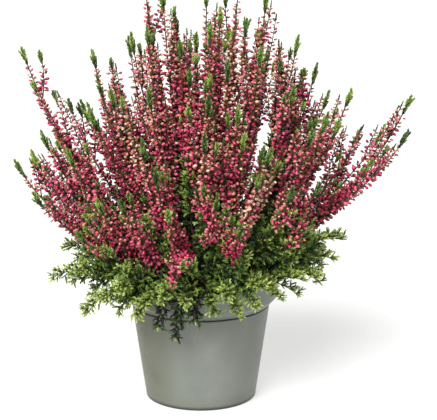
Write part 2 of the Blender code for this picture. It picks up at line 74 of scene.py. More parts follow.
# Tips of the flowering spikes of each spray, main stem first, in millimetres: across, depth, height
FLOWERING_SPRAYS = (
    ((-44, 10, 343), (-56, 17, 301)),
    ((-30, 2, 337), (-20, 30, 311)),
    ((-42, -17, 311), (-40, -46, 268)),
    ((-16, -24, 301), (-8, -50, 284)),
    ((5, 22, 334), (-3, -2, 304)),
    ((8, -24, 316), (7, -66, 266)),
    ((31, 24, 346), (16, 8, 321)),
    ((37, -12, 317), (22, -50, 291)),
    ((53, 2, 335), (48, 46, 298)),
    ((48, -34, 298), (30, -66, 257)),
    ((79, 10, 300), (74, -36, 267)),
    ((95, 26, 274), (106, 46, 247)),
    ((122, 8, 256), (111, -20, 236)),
    ((101, -36, 246), (88, -62, 238)),
    ((170, 2, 252), (166, -20, 228), (150, 12, 226)),
    ((-71, -24, 262), (-82, -8, 268), (-86, -34, 246)),
    ((-88, 20, 286), (-99, 42, 240)),
    ((-144, 10, 290), (-120, 34, 216)),
    ((-128, -12, 226), (-104, -52, 220)),
    ((-148, -28, 206), (-132, -48, 184)),
    ((-79, -93, 190), (-96, -78, 160)),
    ((-60, -112, 194), (-44, -88, 236)),
    ((-34, -102, 216), (-24, -120, 188), (-12, -134, 152)),
    ((4, -90, 242), (14, -116, 200)),
    ((46, -104, 212), (32, -124, 178)),
    ((34, -82, 238), (56, -74, 226)),
    ((72, -94, 200), (94, -64, 196), (88, -88, 168)),
    ((-112, 76, 234), (-86, 102, 202)),
    ((-60, 60, 290), (-72, 88, 244)),
    ((-22, 70, 302), (-34, 106, 240)),
    ((16, 62, 314), (6, 98, 264)),
    ((56, 82, 276), (40, 120, 214)),
    ((86, 66, 262), (108, 88, 212)),
    ((134, 56, 214), (138, 84, 172)),
    ((-142, 56, 194), (-124, 88, 160)),
    ((-14, 136, 194), (-56, 128, 182)),
    ((76, 118, 188), (22, 142, 168)),
)

# Tips of the leafy shoots of each spray, in the same way. The first twelve hang over the rim
LEAFY_SPRAYS = (
    ((-4, -84, 86), (-20, -78, 68), (12, -88, 94), (-12, -98, 106)),
    ((-34, -80, 80), (-52, -78, 90), (-28, -100, 112), (-46, -94, 104)),
    ((-66, -76, 94), (-93, -72, 92), (-78, -86, 108), (-60, -94, 120)),
    ((-118, -60, 118), (-106, -34, 106), (-98, -74, 124), (-88, -50, 98)),
    ((30, -84, 92), (46, -80, 98), (22, -100, 112), (52, -92, 118)),
    ((66, -68, 100), (84, -72, 118), (80, -48, 98), (96, -52, 114)),
    ((114, -20, 141), (110, -40, 126), (100, -12, 112), (98, -30, 102)),
    ((104, 26, 116), (120, 8, 130), (92, 46, 106), (88, 20, 98)),
    ((74, 70, 110), (92, 60, 130), (52, 84, 102), (62, 62, 96)),
    ((4, 98, 108), (28, 94, 122), (-20, 90, 100), (14, 80, 90)),
    ((-62, 76, 110), (-40, 92, 122), (-84, 58, 102), (-50, 70, 94)),
    ((-106, 22, 110), (-114, 0, 126), (-96, 44, 106), (-88, 14, 96)),
    ((-76, -84, 150), (-60, -98, 136), (-90, -60, 142)),
    ((-24, -78, 164), (-42, -72, 174), (-8, -100, 140)),
    ((20, -82, 162), (36, -96, 146), (48, -70, 172)),
    ((78, -70, 146), (62, -58, 166), (98, -50, 150)),
    ((30, 80, 160), (58, 70, 164), (-6, 86, 156)),
    ((-58, 62, 164), (-84, 30, 158), (-34, 84, 150)),
)
HANGING_SPRAYS = 12

# Flowering sprays, by number, with two more side spikes on each stem, and the place, across and in
# depth, that every second one of them leans to: without them the plant would part there
BUSHY_SPRAYS = (9, 10, 11, 12, 32, 33)
THIN_PLACE = Vector((0.057, 0.01, 0.0))

# Flowering sprays, by number, that are still leafy low down, and for how much of their flowering length
LEAFY_FEET = {4: 0.36, 11: 0.5, 12: 0.45, 14: 0.4, 19: 0.5, 24: 0.36, 25: 0.55, 26: 0.45, 27: 0.75}

# Leafy sprays, by number, whose twigs turn up steeply towards the light
LIFTED_SPRAYS = (6, 7, 8)


class Tissue(IntEnum):
    """The materials of a plant piece, by their place in its list."""

    BARK = 0
    PETAL = 1
    LEAF = 2


class Mood(Enum):
    """How far on a spike's flowers are, as the shade that its buds start from."""

    CRIMSON = 0.16
    PINK = 0.38
    ROSE = 0.54
    FADED = 0.70


# How common each mood is, in the order above
MOOD_WEIGHTS = (4, 5, 3, 1.2)


def linear(hex_colour: str) -> tuple[float, float, float, float]:
    """Turns an sRGB hex colour to linear.

    Args:
        hex_colour: A colour such as "#8f918b".

    Returns:
        Linear red, green, blue, and an alpha of 1.
    """
    channels = [int(hex_colour[i : i + 2], 16) / 255 for i in (1, 3, 5)]
    red, green, blue = (
        c / 12.92 if c < 0.04045 else ((c + 0.055) / 1.055) ** 2.4 for c in channels
    )
    return red, green, blue, 1.0


def add_node(
    tree: bpy.types.NodeTree,
    kind: str,
    settings: dict[str | int, Any] | None = None,
    links: dict[str | int, bpy.types.Node | bpy.types.NodeSocket] | None = None,
) -> bpy.types.Node:
    """Adds a shader node with its settings and links.

    Args:
        tree: The node tree that gets the node.
        kind: The node's type name, without the word ShaderNode at its front.
        settings: Values by the name or number of an input, or by the name of a property. For a
            colour ramp, "stops" lists places from 0 to 1, each with its hex colour.
        links: What feeds an input, by its name or number: a socket, or a node for its first one.

    Returns:
        The new node.
    """
    node = tree.nodes.new("ShaderNode" + kind)
    for name, value in (settings or {}).items():
        if name == "stops":
            elements = node.color_ramp.elements
            while len(elements) < len(value):
                elements.new(0.5)
            for element, (place, colour) in zip(elements, value):
                element.position = place
                element.color = linear(colour)
        elif isinstance(name, int) or name in node.inputs:
            node.inputs[name].default_value = value
        else:
            setattr(node, name, value)
    for name, source in (links or {}).items():
        socket = source.outputs[0] if isinstance(source, bpy.types.Node) else source
        tree.links.new(socket, node.inputs[name])
    return node


def new_material(
    name: str, settings: dict[str, Any]
) -> tuple[bpy.types.Material, Callable[..., bpy.types.Node], Callable[..., None]]:
    """Starts a material.

    Args:
        name: What the finish is called.
        settings: Values for the Principled shader's own sockets.

    Returns:
        The material, the function that adds a node to it, and the one that feeds its shader's
        sockets, by their names, from output sockets.
    """
    material = bpy.data.materials.new(name)
    material.use_nodes = True
    tree = material.node_tree
    shader = tree.nodes["Principled BSDF"]
    for socket, value in settings.items():
        shader.inputs[socket].default_value = value

    def feed(sources: dict[str, bpy.types.NodeSocket]) -> None:
        """Links output sockets to the shader's sockets."""
        for socket, source in sources.items():
            tree.links.new(source, shader.inputs[socket])

    return material, partial(add_node, tree), feed


@dataclass(frozen=True)
class MouldedPlastic:
    """Injection-moulded polypropylene, satin grey, as on a grower's pot.

    The eye sees a soft, broad highlight and faint clouds where the melt flowed. One side is painted
    darker and greener: painted shade with a green reflected tint. Painted shade also darkens the
    groove under the collar and a band round the foot, and dull splashes of dirt reach a little higher.
    """

    colour: str = "#6a6e67"
    cloud_colour: str = "#777b73"
    side_shade_colour: str = "#4a4d30"
    splash_colour: str = "#5c5a4b"
    crease_shade_colour: str = "#24221c"
    cloud_size: float = 34 * MM
    splash_size: float = 4 * MM
    # The mould's fine texture is about 0.1 mm, drawn nine times as coarse so that it shows
    grain_size: float = 0.9 * MM
    grain_depth: float = 0.1 * MM
    groove_height: float = 80 * MM
    splash_height: float = 14 * MM
    # Across the pot, where the painted side shade starts and where it is at its strongest
    side_shade_edge: float = -14 * MM
    side_shade_full: float = -46 * MM
    # Painted shade in the groove and round the foot: from the groove's middle, as far as it is full and
    # as far as it reaches. At the foot it climbs two and a half times as high
    crease_shade_full: float = 0.5 * MM
    crease_shade_reach: float = 1.5 * MM
    foot_share: float = 0.4

    def material(self) -> bpy.types.Material:
        """Builds the pot's material.

        Returns:
            The material.
        """
        material, node, feed = new_material("moulded_polypropylene_grey", {"IOR": 1.49})
        place = node("TexCoord").outputs["Object"]
        part = node("SeparateXYZ", links={"Vector": place}).outputs
        clouds = node(
            "TexNoise",
            {"Scale": 1 / self.cloud_size, "Detail": 3.0, "Roughness": 0.55},
            {"Vector": place},
        )
        splashes = node(
            "TexNoise",
            {"Scale": 1 / self.splash_size, "Detail": 4.0, "Roughness": 0.65},
            {"Vector": place},
        )
        plain = node(
            "ValToRGB", {"stops": ((0.32, self.colour), (0.72, self.cloud_colour))}, {"Fac": clouds}
        )
        # Painted shade with a green reflected tint, strongest on the pot's left side
        shaded_side = node(
            "MapRange",
            {"From Min": self.side_shade_edge, "From Max": self.side_shade_full, "To Min": 0.0, "To Max": 1.7},
            {"Value": part["X"]},
        )
        painted_side_shade = node(
            "Math", {"operation": "MULTIPLY", "use_clamp": True}, {0: shaded_side, 1: clouds}
        )
        near_foot = node(
            "MapRange",
            {"From Min": 0.0, "From Max": self.splash_height, "To Min": 0.7, "To Max": 0.0},
            {"Value": part["Z"]},
        )
        splash = node("Math", {"operation": "MULTIPLY"}, {0: splashes, 1: near_foot})
        # Painted shade: a dark band in the groove under the collar and a thin one round the foot
        above_groove = node(
            "Math", {"operation": "SUBTRACT", 1: self.groove_height}, {0: part["Z"]}
        )
        off_groove = node("Math", {"operation": "ABSOLUTE"}, {0: above_groove})
        above_foot = node("Math", {"operation": "MULTIPLY", 1: self.foot_share}, {0: part["Z"]})
        off_shade_band = node("Math", {"operation": "MINIMUM"}, {0: off_groove, 1: above_foot})
        earth_top_and_painted_shade = node(
            "MapRange",
            {"From Min": self.crease_shade_full, "From Max": self.crease_shade_reach, "To Min": 0.9, "To Max": 0.0},
            {"Value": off_shade_band},
        )
        # The Mix node has a socket pair for each kind of data: 6, 7 and output 2 are its colours
        under = plain.outputs["Color"]
        # The left side's tint and the groove and foot bands are painted shade; only the splashes are
        # dirt
        layers = (painted_side_shade, self.side_shade_colour), (splash, self.splash_colour), (earth_top_and_painted_shade, self.crease_shade_colour)
        for cover, colour in layers:
            settings = {"data_type": "RGBA", 7: linear(colour)}
            under = node("Mix", settings, {"Factor": cover, 6: under}).outputs[2]
        dull = node(
            "MapRange",
            {"From Min": 0.3, "From Max": 0.7, "To Min": 0.34, "To Max": 0.48},
            {"Value": splashes},
        )
        grain = node("TexNoise", {"Scale": 1 / self.grain_size, "Detail": 2.0}, {"Vector": place})
        bump = node("Bump", {"Strength": 0.08, "Distance": self.grain_depth}, {"Height": grain})
        feed({"Base Color": under, "Roughness": dull.outputs[0], "Normal": bump.outputs[0]})
        return material


@dataclass(frozen=True)
class LoosePeat:
    """Peat compost, dark brown and crumbly, with paler fibres and no shine."""

    dark: str = "#1d140e"
    middle: str = "#33241a"
    fibre: str = "#5d4630"
    crumb_size: float = 2.4 * MM
    crumb_depth: float = 0.8 * MM

    def material(self) -> bpy.types.Material:
        """Builds the compost's material.

        Returns:
            The material.
        """
        material, node, feed = new_material("peat_compost_loose", {"Roughness": 0.95})
        place = node("TexCoord").outputs["Object"]
        crumbs = node("TexVoronoi", {"Scale": 1 / self.crumb_size}, {"Vector": place}).outputs
        shade = node("SeparateColor", links={"Color": crumbs["Color"]})
        stops = ((0.0, self.dark), (0.55, self.middle), (0.9, self.middle), (1.0, self.fibre))
        colour = node("ValToRGB", {"stops": stops}, {"Fac": shade})
        bump = node(
            "Bump",
            {"Strength": 0.6, "Distance": self.crumb_depth, "invert": True},
            {"Height": crumbs["Distance"]},
        )
        feed({"Base Color": colour.outputs["Color"], "Normal": bump.outputs[0]})
        return material


@dataclass(frozen=True)
class PlantFinish:
    """A finish whose colour follows a part's own shade, and its place from foot to tip: its age, and on
    leaves and petals painted shade at the foot.
    """

    name: str
    tints: tuple[tuple[float, str], ...]
    ages: tuple[tuple[float, str], ...]
    age_share: float
    roughness: float
    patch_size: float
    patch_share: float
    grain_size: float
    grain_depth: float

    def material(self) -> bpy.types.Material:
        """Builds the finish: a tint ramp with patches, multiplied by the ramp of age and painted shade,
        and a fine grain.

        Returns:
            The material.
        """
        material, node, feed = new_material(self.name, {"Roughness": self.roughness})
        place = node("TexCoord").outputs["Object"]
        tint = node("Attribute", {"attribute_name": TINT}).outputs["Fac"]
        age = node("Attribute", {"attribute_name": AGE}).outputs["Fac"]
        patches = node("TexNoise", {"Scale": 1 / self.patch_size, "Detail": 1.0}, {"Vector": place})
        patch_range = {
            "From Min": 0.3,
            "From Max": 0.7,
            "To Min": -self.patch_share,
            "To Max": self.patch_share,
        }
        shift = node("MapRange", patch_range, {"Value": patches})
        shade = node("Math", {"use_clamp": True}, {0: tint, 1: shift})
        own = node("ValToRGB", {"stops": self.tints}, {"Fac": shade})
        age_and_shade_ramp = node("ValToRGB", {"stops": self.ages}, {"Fac": age})
        # The Mix node has a socket pair for each kind of data: 6, 7 and output 2 are its colours
        mixed = node(
            "Mix",
            {"data_type": "RGBA", "blend_type": "MULTIPLY", "Factor": self.age_share},
            {6: own, 7: age_and_shade_ramp},
        )
        grain = node("TexNoise", {"Scale": 1 / self.grain_size, "Detail": 2.0}, {"Vector": place})
        bump = node("Bump", {"Strength": 0.5, "Distance": self.grain_depth}, {"Height": grain})
        feed({"Base Color": mixed.outputs[2], "Normal": bump.outputs[0]})
        return material


# Thin bark, grey-brown and flaking on old wood, smooth reddish brown on this year's growth
YOUNG_BARK = PlantFinish(
    name="heather_bark",
    tints=((0.0, "#3a2620"), (0.5, "#63432e"), (1.0, "#80563c")),
    ages=((0.0, "#5e544b"), (0.5, "#c8a898"), (1.0, "#ffd8b4")),
    age_share=0.9,
    roughness=0.8,
    patch_size=7 * MM,
    patch_share=0.3,
    grain_size=0.7 * MM,
    grain_depth=0.25 * MM,
)

# Papery sepals and petals, matt: crimson when young, hot pink to rose when full, then salmon and
# straw when they fade. The foot of each bud is darker: partly its bracts, partly painted shade where
# the buds crowd the stem
PETAL = PlantFinish(
    name="heather_petal",
    tints=(
        (0.0, "#801330"),
        (0.2, "#a61e46"),
        (0.4, "#c23361"),
        (0.58, "#d8748e"),
        (0.72, "#ca746c"),
        (0.84, "#b07e60"),
        (1.0, "#e4bfac"),
    ),
    # Painted shade: nearly black at the very foot of each bud
    ages=((0.0, "#241a12"), (0.3, "#7e5c4e"), (0.55, "#e8dcd6"), (1.0, "#ffffff")),
    age_share=1.0,
    roughness=0.5,
    patch_size=2.2 * MM,
    patch_share=0.10,
    grain_size=0.5 * MM,
    grain_depth=0.12 * MM,
)

# Tiny fleshy scale leaves with a dull wax: dry brown on a few old ones and yellow-green at the
# tips. The nearly black-green is painted shade for leaves inside the plant and under the skirt
SCALE_LEAF = PlantFinish(
    name="heather_scale_leaf",
    tints=(
        (0.0, "#86683f"),
        # Painted shade: the nearly black-green taken by twigs inside the plant and under the skirt
        (0.1, "#141a0a"),
        (0.26, "#3a5220"),
        (0.42, "#698a3a"),
        (0.65, "#9ab352"),
        (1.0, "#cfdd7e"),
    ),
    # Painted shade: nearly black at the foot of each leaf and twig, between the leaves
    ages=((0.0, "#0c0c07"), (0.34, "#383c2c"), (0.62, "#cccfba"), (1.0, "#ffffff")),
    age_share=1.0,
    roughness=0.52,
    patch_size=16 * MM,
    patch_share=0.12,
    grain_size=0.6 * MM,
    grain_depth=0.12 * MM,
)


@dataclass(frozen=True)
class LightTable:
    """Matt white acrylic, lit faintly from below, so that the pot's shadow stays pale."""

    colour: str = "#acacaa"
    glow: float = 0.47

    def material(self) -> bpy.types.Material:
        """Builds the floor's material.

        Returns:
            The material.
        """
        settings = {
            "Roughness": 0.9,
            "Base Color": linear(self.colour),
            "Emission Color": linear("#ffffff"),
            "Emission Strength": self.glow,
        }
        return new_material("matt_white_acrylic", settings)[0]


@dataclass(frozen=True)
class Lamp:
    """A distant lamp: its strength, the angle that it fills and the direction it shines from."""

    name: str
    strength: float
    softness: float
    source: tuple[float, float, float]


@dataclass
class Studio:
    """The camera, the light and the floor."""

    camera_place: tuple[float, float, float] = (0.0146, -1.667, 0.594)
    look_down: float = 0.2562
    lens: float = 174.06
    sensor: float = 36.0
    key: Lamp = Lamp("key", 6.3, math.radians(40), (-0.42, -1.0, 1.06))
    fill: Lamp = Lamp("fill", 2.2, math.radians(60), (0.12, 1.0, 0.9))
    dome_strength: float = 0.08
    floor_side: float = 12.0

    def build(self) -> None:
        """Sets up the whole studio."""
        self.place_camera()
        self.light()
        self.lay_floor()
        bpy.context.scene.view_settings.view_transform = "Standard"

    def place_camera(self) -> None:
        """Puts the camera where the pot's outline says that it stood."""
        lens = bpy.data.cameras.new("camera")
        lens.lens = self.lens
        lens.sensor_width = self.sensor
        camera = bpy.data.objects.new("camera", lens)
        camera.location = self.camera_place
        camera.rotation_euler = (math.pi / 2 - self.look_down, 0.0, 0.0)
        bpy.context.scene.collection.objects.link(camera)
        bpy.context.scene.camera = camera

    def light(self) -> None:
        """Adds a key light from the front, a weaker one from behind, and an even white dome."""
        for lamp in (self.key, self.fill):
            sun = bpy.data.lights.new(lamp.name, "SUN")
            sun.energy = lamp.strength
            sun.angle = lamp.softness
            holder = bpy.data.objects.new(lamp.name, sun)
            holder.rotation_euler = Vector(lamp.source).to_track_quat("Z", "Y").to_euler()
            bpy.context.scene.collection.objects.link(holder)
        world = bpy.data.worlds.new("dome")
        world.use_nodes = True
        background = world.node_tree.nodes["Background"]
        background.inputs["Color"].default_value = linear("#ffffff")
        background.inputs["Strength"].default_value = self.dome_strength
        bpy.context.scene.world = world

    def lay_floor(self) -> None:
        """Lays one wide sheet of white acrylic under the pot."""
        bm = bmesh.new()
        bmesh.ops.create_grid(bm, x_segments=1, y_segments=1, size=self.floor_side / 2)
        floor = add_object("studio_floor", bm)
        floor.data.materials.append(LightTable().material())


def add_object(name: str, bm: bmesh.types.BMesh) -> bpy.types.Object:
    """Puts a finished bmesh into the scene as an object.

    Args:
        name: The object's name.
        bm: The mesh, which is freed.

    Returns:
        The new object.
    """
    mesh = bpy.data.meshes.new(name)
    bm.to_mesh(mesh)
    bm.free()
    thing = bpy.data.objects.new(name, mesh)
    bpy.context.scene.collection.objects.link(thing)
    return thing


def add_piece(
    name: str, bm: bmesh.types.BMesh, materials: Sequence[bpy.types.Material], slot: str
) -> bpy.types.Object:
    """Puts a finished bmesh into the scene as a piece that rides on the plant's one body.

    Args:
        name: The piece's name.
        bm: The mesh, which is freed.
        materials: The piece's materials, in the order of its faces' numbers.
        slot: The record's material slot for the piece. It is not used.

    Returns:
        The new object.
    """
    piece = add_object(name, bm)
    for material in materials:
        piece.data.materials.append(material)
    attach(piece, "root")
    log.info("%s: %d faces", name, len(piece.data.polygons))
    return piece


@dataclass(frozen=True)
class RingPoint:
    """A corner of a turned profile, with the radius that it is rounded to."""

    radius: float
    height: float
    rounding: float = 0.0


def turned(profile: Sequence[RingPoint], sides: int) -> bmesh.types.BMesh:
    """Turns a profile round Z and rounds its corners.

    Args:
        profile: Corners from the axis, round the outside and back to the axis.
        sides: Steps of the full turn.

    Returns:
        A closed bmesh with smooth faces that point outwards.
    """
    bm = bmesh.new()
    points = [bm.verts.new((corner.radius, 0.0, corner.height)) for corner in profile]
    edges = [bm.edges.new(pair) for pair in zip(points, points[1:])]
    bmesh.ops.spin(
        bm,
        geom=points + edges,
        cent=(0, 0, 0),
        axis=(0, 0, 1),
        angle=math.tau,
        steps=sides,
        use_merge=True,
    )
    bmesh.ops.remove_doubles(bm, verts=bm.verts, dist=MERGE_DISTANCE)
    bmesh.ops.recalc_face_normals(bm, faces=bm.faces)
    for corner in profile:
        if corner.rounding:
            bmesh.ops.bevel(
                bm,
                geom=ring_edges(bm, corner),
                offset=corner.rounding,
                segments=4,
                profile=0.5,
                affect="EDGES",
                clamp_overlap=True,
                material=-1,
            )
    for face in bm.faces:
        face.smooth = True
    return bm


def ring_edges(bm: bmesh.types.BMesh, corner: RingPoint) -> list[bmesh.types.BMEdge]:
    """Finds the edges that a corner of the profile left round the axis.

    Args:
        bm: The turned mesh.
        corner: The corner to look for.

    Returns:
        The edges of its ring.
    """

    def on_ring(vert: bmesh.types.BMVert) -> bool:
        """Whether a point stands at the corner's radius and height."""
        off = abs(vert.co.xy.length - corner.radius) + abs(vert.co.z - corner.height)
        return off < 2 * MERGE_DISTANCE

    return [edge for edge in bm.edges if all(on_ring(vert) for vert in edge.verts)]


@dataclass
class Pot:
    """The moulded plastic pot: tapered body, deep stepped collar and drained base."""

    rim_radius: float = 65.0 * MM
    collar_foot_radius: float = 63.2 * MM
    collar_foot_height: float = 87.0 * MM
    body_top_radius: float = 56.8 * MM
    body_top_height: float = 80.0 * MM
    base_radius: float = 45.2 * MM
    height: float = 104.0 * MM
    wall: float = 1.3 * MM
    base_thickness: float = 2.4 * MM
    channel_inner: float = 31.0 * MM
    channel_outer: float = 41.0 * MM
    channel_depth: float = 1.2 * MM
    channel_slope: float = 0.7 * MM
    hole_radius: float = 3.6 * MM
    groove_depth: float = 0.7 * MM
    groove_width: float = 0.9 * MM
    channel_rounding: float = 0.5 * MM
    crease_rounding: float = 0.25 * MM
    groove_rounding: float = 0.2 * MM
    rim_rounding: float = 0.6 * MM
    step_rounding: float = 0.8 * MM
    foot_rounding: float = 1.0 * MM
    holes: int = 6
    hole_sides: int = 20
    sides: int = 96

    def outside(self, height: float) -> float:
        """Gives the outer radius at a height.

        Args:
            height: The height above the underside.

        Returns:
            The radius there.
        """
        heights = (0.0, self.body_top_height, self.collar_foot_height, self.height)
        radii = self.base_radius, self.body_top_radius, self.collar_foot_radius, self.rim_radius
        return float(np.interp(height, heights, radii))

    def profile(self) -> list[RingPoint]:
        """Draws the wall's section, with its corners rounded as the mould rounds them.

        Returns:
            Its corners, from the middle of the underside to the middle of the floor inside.
        """
        wall, deep, slope = self.wall, self.channel_depth, self.channel_slope
        crease, step, groove = self.crease_rounding, self.step_rounding, self.groove_width / 2
        top, level = self.body_top_radius, self.body_top_height
        collar, collar_level = self.collar_foot_radius, self.collar_foot_height
        return [
            RingPoint(0.0, 0.0),
            RingPoint(self.channel_inner, 0.0, self.channel_rounding),
            RingPoint(self.channel_inner + slope, deep, crease),
            RingPoint(self.channel_outer - slope, deep, crease),
            RingPoint(self.channel_outer, 0.0, self.channel_rounding),
            RingPoint(self.base_radius, 0.0, self.foot_rounding),
            RingPoint(top, level - groove, self.groove_rounding),
            RingPoint(top - self.groove_depth, level - groove * 0.6),
            RingPoint(top - self.groove_depth, level + groove * 0.6),
            RingPoint(top + groove, level + groove),
            RingPoint(collar, collar_level, step),
            RingPoint(self.rim_radius, self.height, self.rim_rounding),
            RingPoint(self.rim_radius - wall, self.height, self.rim_rounding),
            RingPoint(collar - wall, collar_level + wall, step),
            RingPoint(top - wall, level + wall, step),
            RingPoint(self.base_radius - wall, self.base_thickness, self.foot_rounding),
            RingPoint(0.0, self.base_thickness),
        ]

    def build(self) -> bpy.types.Object:
        """Turns the pot, drills its drain holes and dresses it.

        Returns:
            The pot's piece.
        """
        shell = turned(self.profile(), self.sides)
        piece = add_piece("moulded_pot", shell, [MouldedPlastic().material()], "grey_plastic")
        drills = self.drills()
        cut = piece.modifiers.new("drain_holes", "BOOLEAN")
        cut.object = drills
        cut.solver = "EXACT"
        graph = bpy.context.evaluated_depsgraph_get()
        whole, drilled = piece.data, bpy.data.meshes.new_from_object(piece.evaluated_get(graph))
        piece.modifiers.clear()
        piece.data = drilled
        bpy.data.meshes.remove(whole)
        bpy.data.objects.remove(drills)
        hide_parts("pot")
        return piece

    def drills(self) -> bpy.types.Object:
        """Makes the upright cylinders that the drain holes are cut with.

        Returns:
            All of them as one object.
        """
        bm = bmesh.new()
        circle_radius = (self.channel_inner + self.channel_outer) / 2
        for i in range(self.holes):
            turn = Matrix.Rotation(math.tau * (i + 0.5) / self.holes, 4, "Z")
            bmesh.ops.create_cone(
                bm,
                cap_ends=True,
                segments=self.hole_sides,
                radius1=self.hole_radius,
                radius2=self.hole_radius,
                depth=4 * self.base_thickness,
                matrix=turn @ Matrix.Translation((circle_radius, 0, self.base_thickness)),
            )
        return add_object("drills", bm)


@dataclass
class Compost:
    """The root ball: a plug of peat with a loose, crumbly, slightly mounded top."""

    pot: Pot
    edge_height: float = 91.0 * MM
    mound: float = 4.0 * MM
    relief: float = 0.8 * MM
    swells: tuple[float, float, float] = (5.3 * MM, 6.1 * MM, 19 * MM)
    roughness: float = 0.9 * MM
    rough_size: float = 3.5 * MM
    clearance: float = 0.3 * MM
    collar_gap: float = 0.5 * MM
    sides: int = 64
    top_rings: int = 22
    crumbs: int = 420
    # The least and the most that a crumb's radius may be, in millimetres
    crumb_radii: tuple[float, float] = (0.7, 1.9)
    crumb_margin: float = 5 * MM
    crumb_lift: float = 0.2 * MM
    seed: int = 41

    def height_at(self, x: float, y: float) -> float:
        """Gives the height of the compost's top at a place, as the CAD has it.

        Args:
            x: The place across.
            y: The place in depth.

        Returns:
            The height there.
        """
        share = min(1.0, math.hypot(x, y) / self.pot.collar_foot_radius)
        across, deep, skew = self.swells
        swell = math.sin(x / across) * math.cos(y / deep + x / skew)
        return self.edge_height + self.mound * (1 - share * share) + self.relief * swell

    def profile(self) -> list[RingPoint]:
        """Draws the plug's section, clear of the pot's wall.

        Returns:
            Its corners, from the middle of its underside to the middle of its top.
        """
        pot = self.pot
        gap = self.clearance + pot.wall
        bottom = pot.base_thickness + self.clearance
        slope = (pot.rim_radius - pot.collar_foot_radius) / (pot.height - pot.collar_foot_height)
        collar = pot.collar_foot_radius - gap - self.collar_gap
        edge = collar + slope * (self.edge_height - pot.collar_foot_height)
        rings = [
            RingPoint(edge * (1 - k / self.top_rings), self.edge_height)
            for k in range(1, self.top_rings + 1)
        ]
        return [
            RingPoint(0.0, bottom),
            RingPoint(pot.base_radius - gap, bottom),
            RingPoint(pot.body_top_radius - gap, pot.body_top_height + pot.wall),
            RingPoint(collar, pot.collar_foot_height + pot.wall),
            RingPoint(edge, self.edge_height - self.relief),
            *rings,
        ]

    def build(self) -> bpy.types.Object:
        """Builds the plug with its crumbs.

        Returns:
            The compost's piece.
        """
        bm = turned(self.profile(), self.sides)
        for vert in bm.verts:
            if vert.co.z > self.edge_height - self.relief / 2:
                rough = noise.fractal(vert.co / self.rough_size, 1.0, 2.0, 4)
                vert.co.z = self.height_at(vert.co.x, vert.co.y) + rough * self.roughness
        self.scatter_crumbs(bm)
        for face in bm.faces:
            face.smooth = False
        piece = add_piece("peat_compost", bm, [LoosePeat().material()], "peat_compost")
        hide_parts("compost")
        return piece

    def scatter_crumbs(self, bm: bmesh.types.BMesh) -> None:
        """Drops loose crumbs, flattened and half sunk, over the top.

        Args:
            bm: The plug, which gets the crumbs.
        """
        rng = random.Random(self.seed)
        for _ in range(self.crumbs):
            reach = (self.pot.collar_foot_radius - self.crumb_margin) * math.sqrt(rng.random())
            angle = rng.uniform(0, math.tau)
            x, y = reach * math.cos(angle), reach * math.sin(angle)
            size = rng.uniform(*self.crumb_radii) * MM
            shape = Matrix.Diagonal((1.0, rng.uniform(0.5, 1.0), rng.uniform(0.4, 0.8), 1.0))
            place = Matrix.Translation((x, y, self.height_at(x, y) + self.crumb_lift))
            turn = Matrix.Rotation(rng.uniform(0, math.tau), 4, "Z")
            tip = Matrix.Rotation(rng.uniform(-0.6, 0.6), 4, "X")
            bmesh.ops.create_icosphere(
                bm, subdivisions=1, radius=size, matrix=place @ turn @ tip @ shape
            )


@dataclass(frozen=True)
class Habit:
    """How one kind of shoot grows and the room that it keeps, as in the CAD."""

    root_radius: float
    reach: float
    bare_share: float
    side_bare_share: float
    least_bare: float
    course_points: int
    start_lean: float
    end_lean: float
    root_spread: float
    flowering: bool


FLOWERING = Habit(
    root_radius=1.7 * MM,
    reach=4.6 * MM,
    bare_share=0.36,
    side_bare_share=0.10,
    least_bare=8 * MM,
    course_points=15,
    start_lean=1.12,
    end_lean=0.55,
    root_spread=1.0,
    flowering=True,
)
UPRIGHT = replace(
    FLOWERING,
    root_radius=1.3 * MM,
    reach=3.5 * MM,
    bare_share=0.45,
    side_bare_share=0.12,
    least_bare=5 * MM,
    course_points=10,
    root_spread=1.2,
    flowering=False,
)
HANGING = replace(UPRIGHT, start_lean=0.62, end_lean=1.35)


@dataclass
class Shoot:
    """One shoot as the line that it follows, with the room that it needs round each point."""

    spray: int
    habit: Habit
    points: np.ndarray
    main: Shoot | None = None
    fork: int = 0
    fork_at: float = 0.28
    root_room: float = 3.2 * MM
    bare_margin: float = 0.04
    room: np.ndarray = field(init=False)

    def __post_init__(self) -> None:
        """Works out the radius kept clear: slim on the bare stem, wide where buds or leaves stand."""
        share = np.linspace(0, 1, len(self.points))
        if self.main is not None:
            share = self.fork_at + (1 - self.fork_at) * share
        is_bare = share < self.habit.bare_share - self.bare_margin
        self.room = np.where(is_bare, self.habit.root_radius, self.habit.reach)
        if self.main is None:
            self.room[:2] = self.root_room


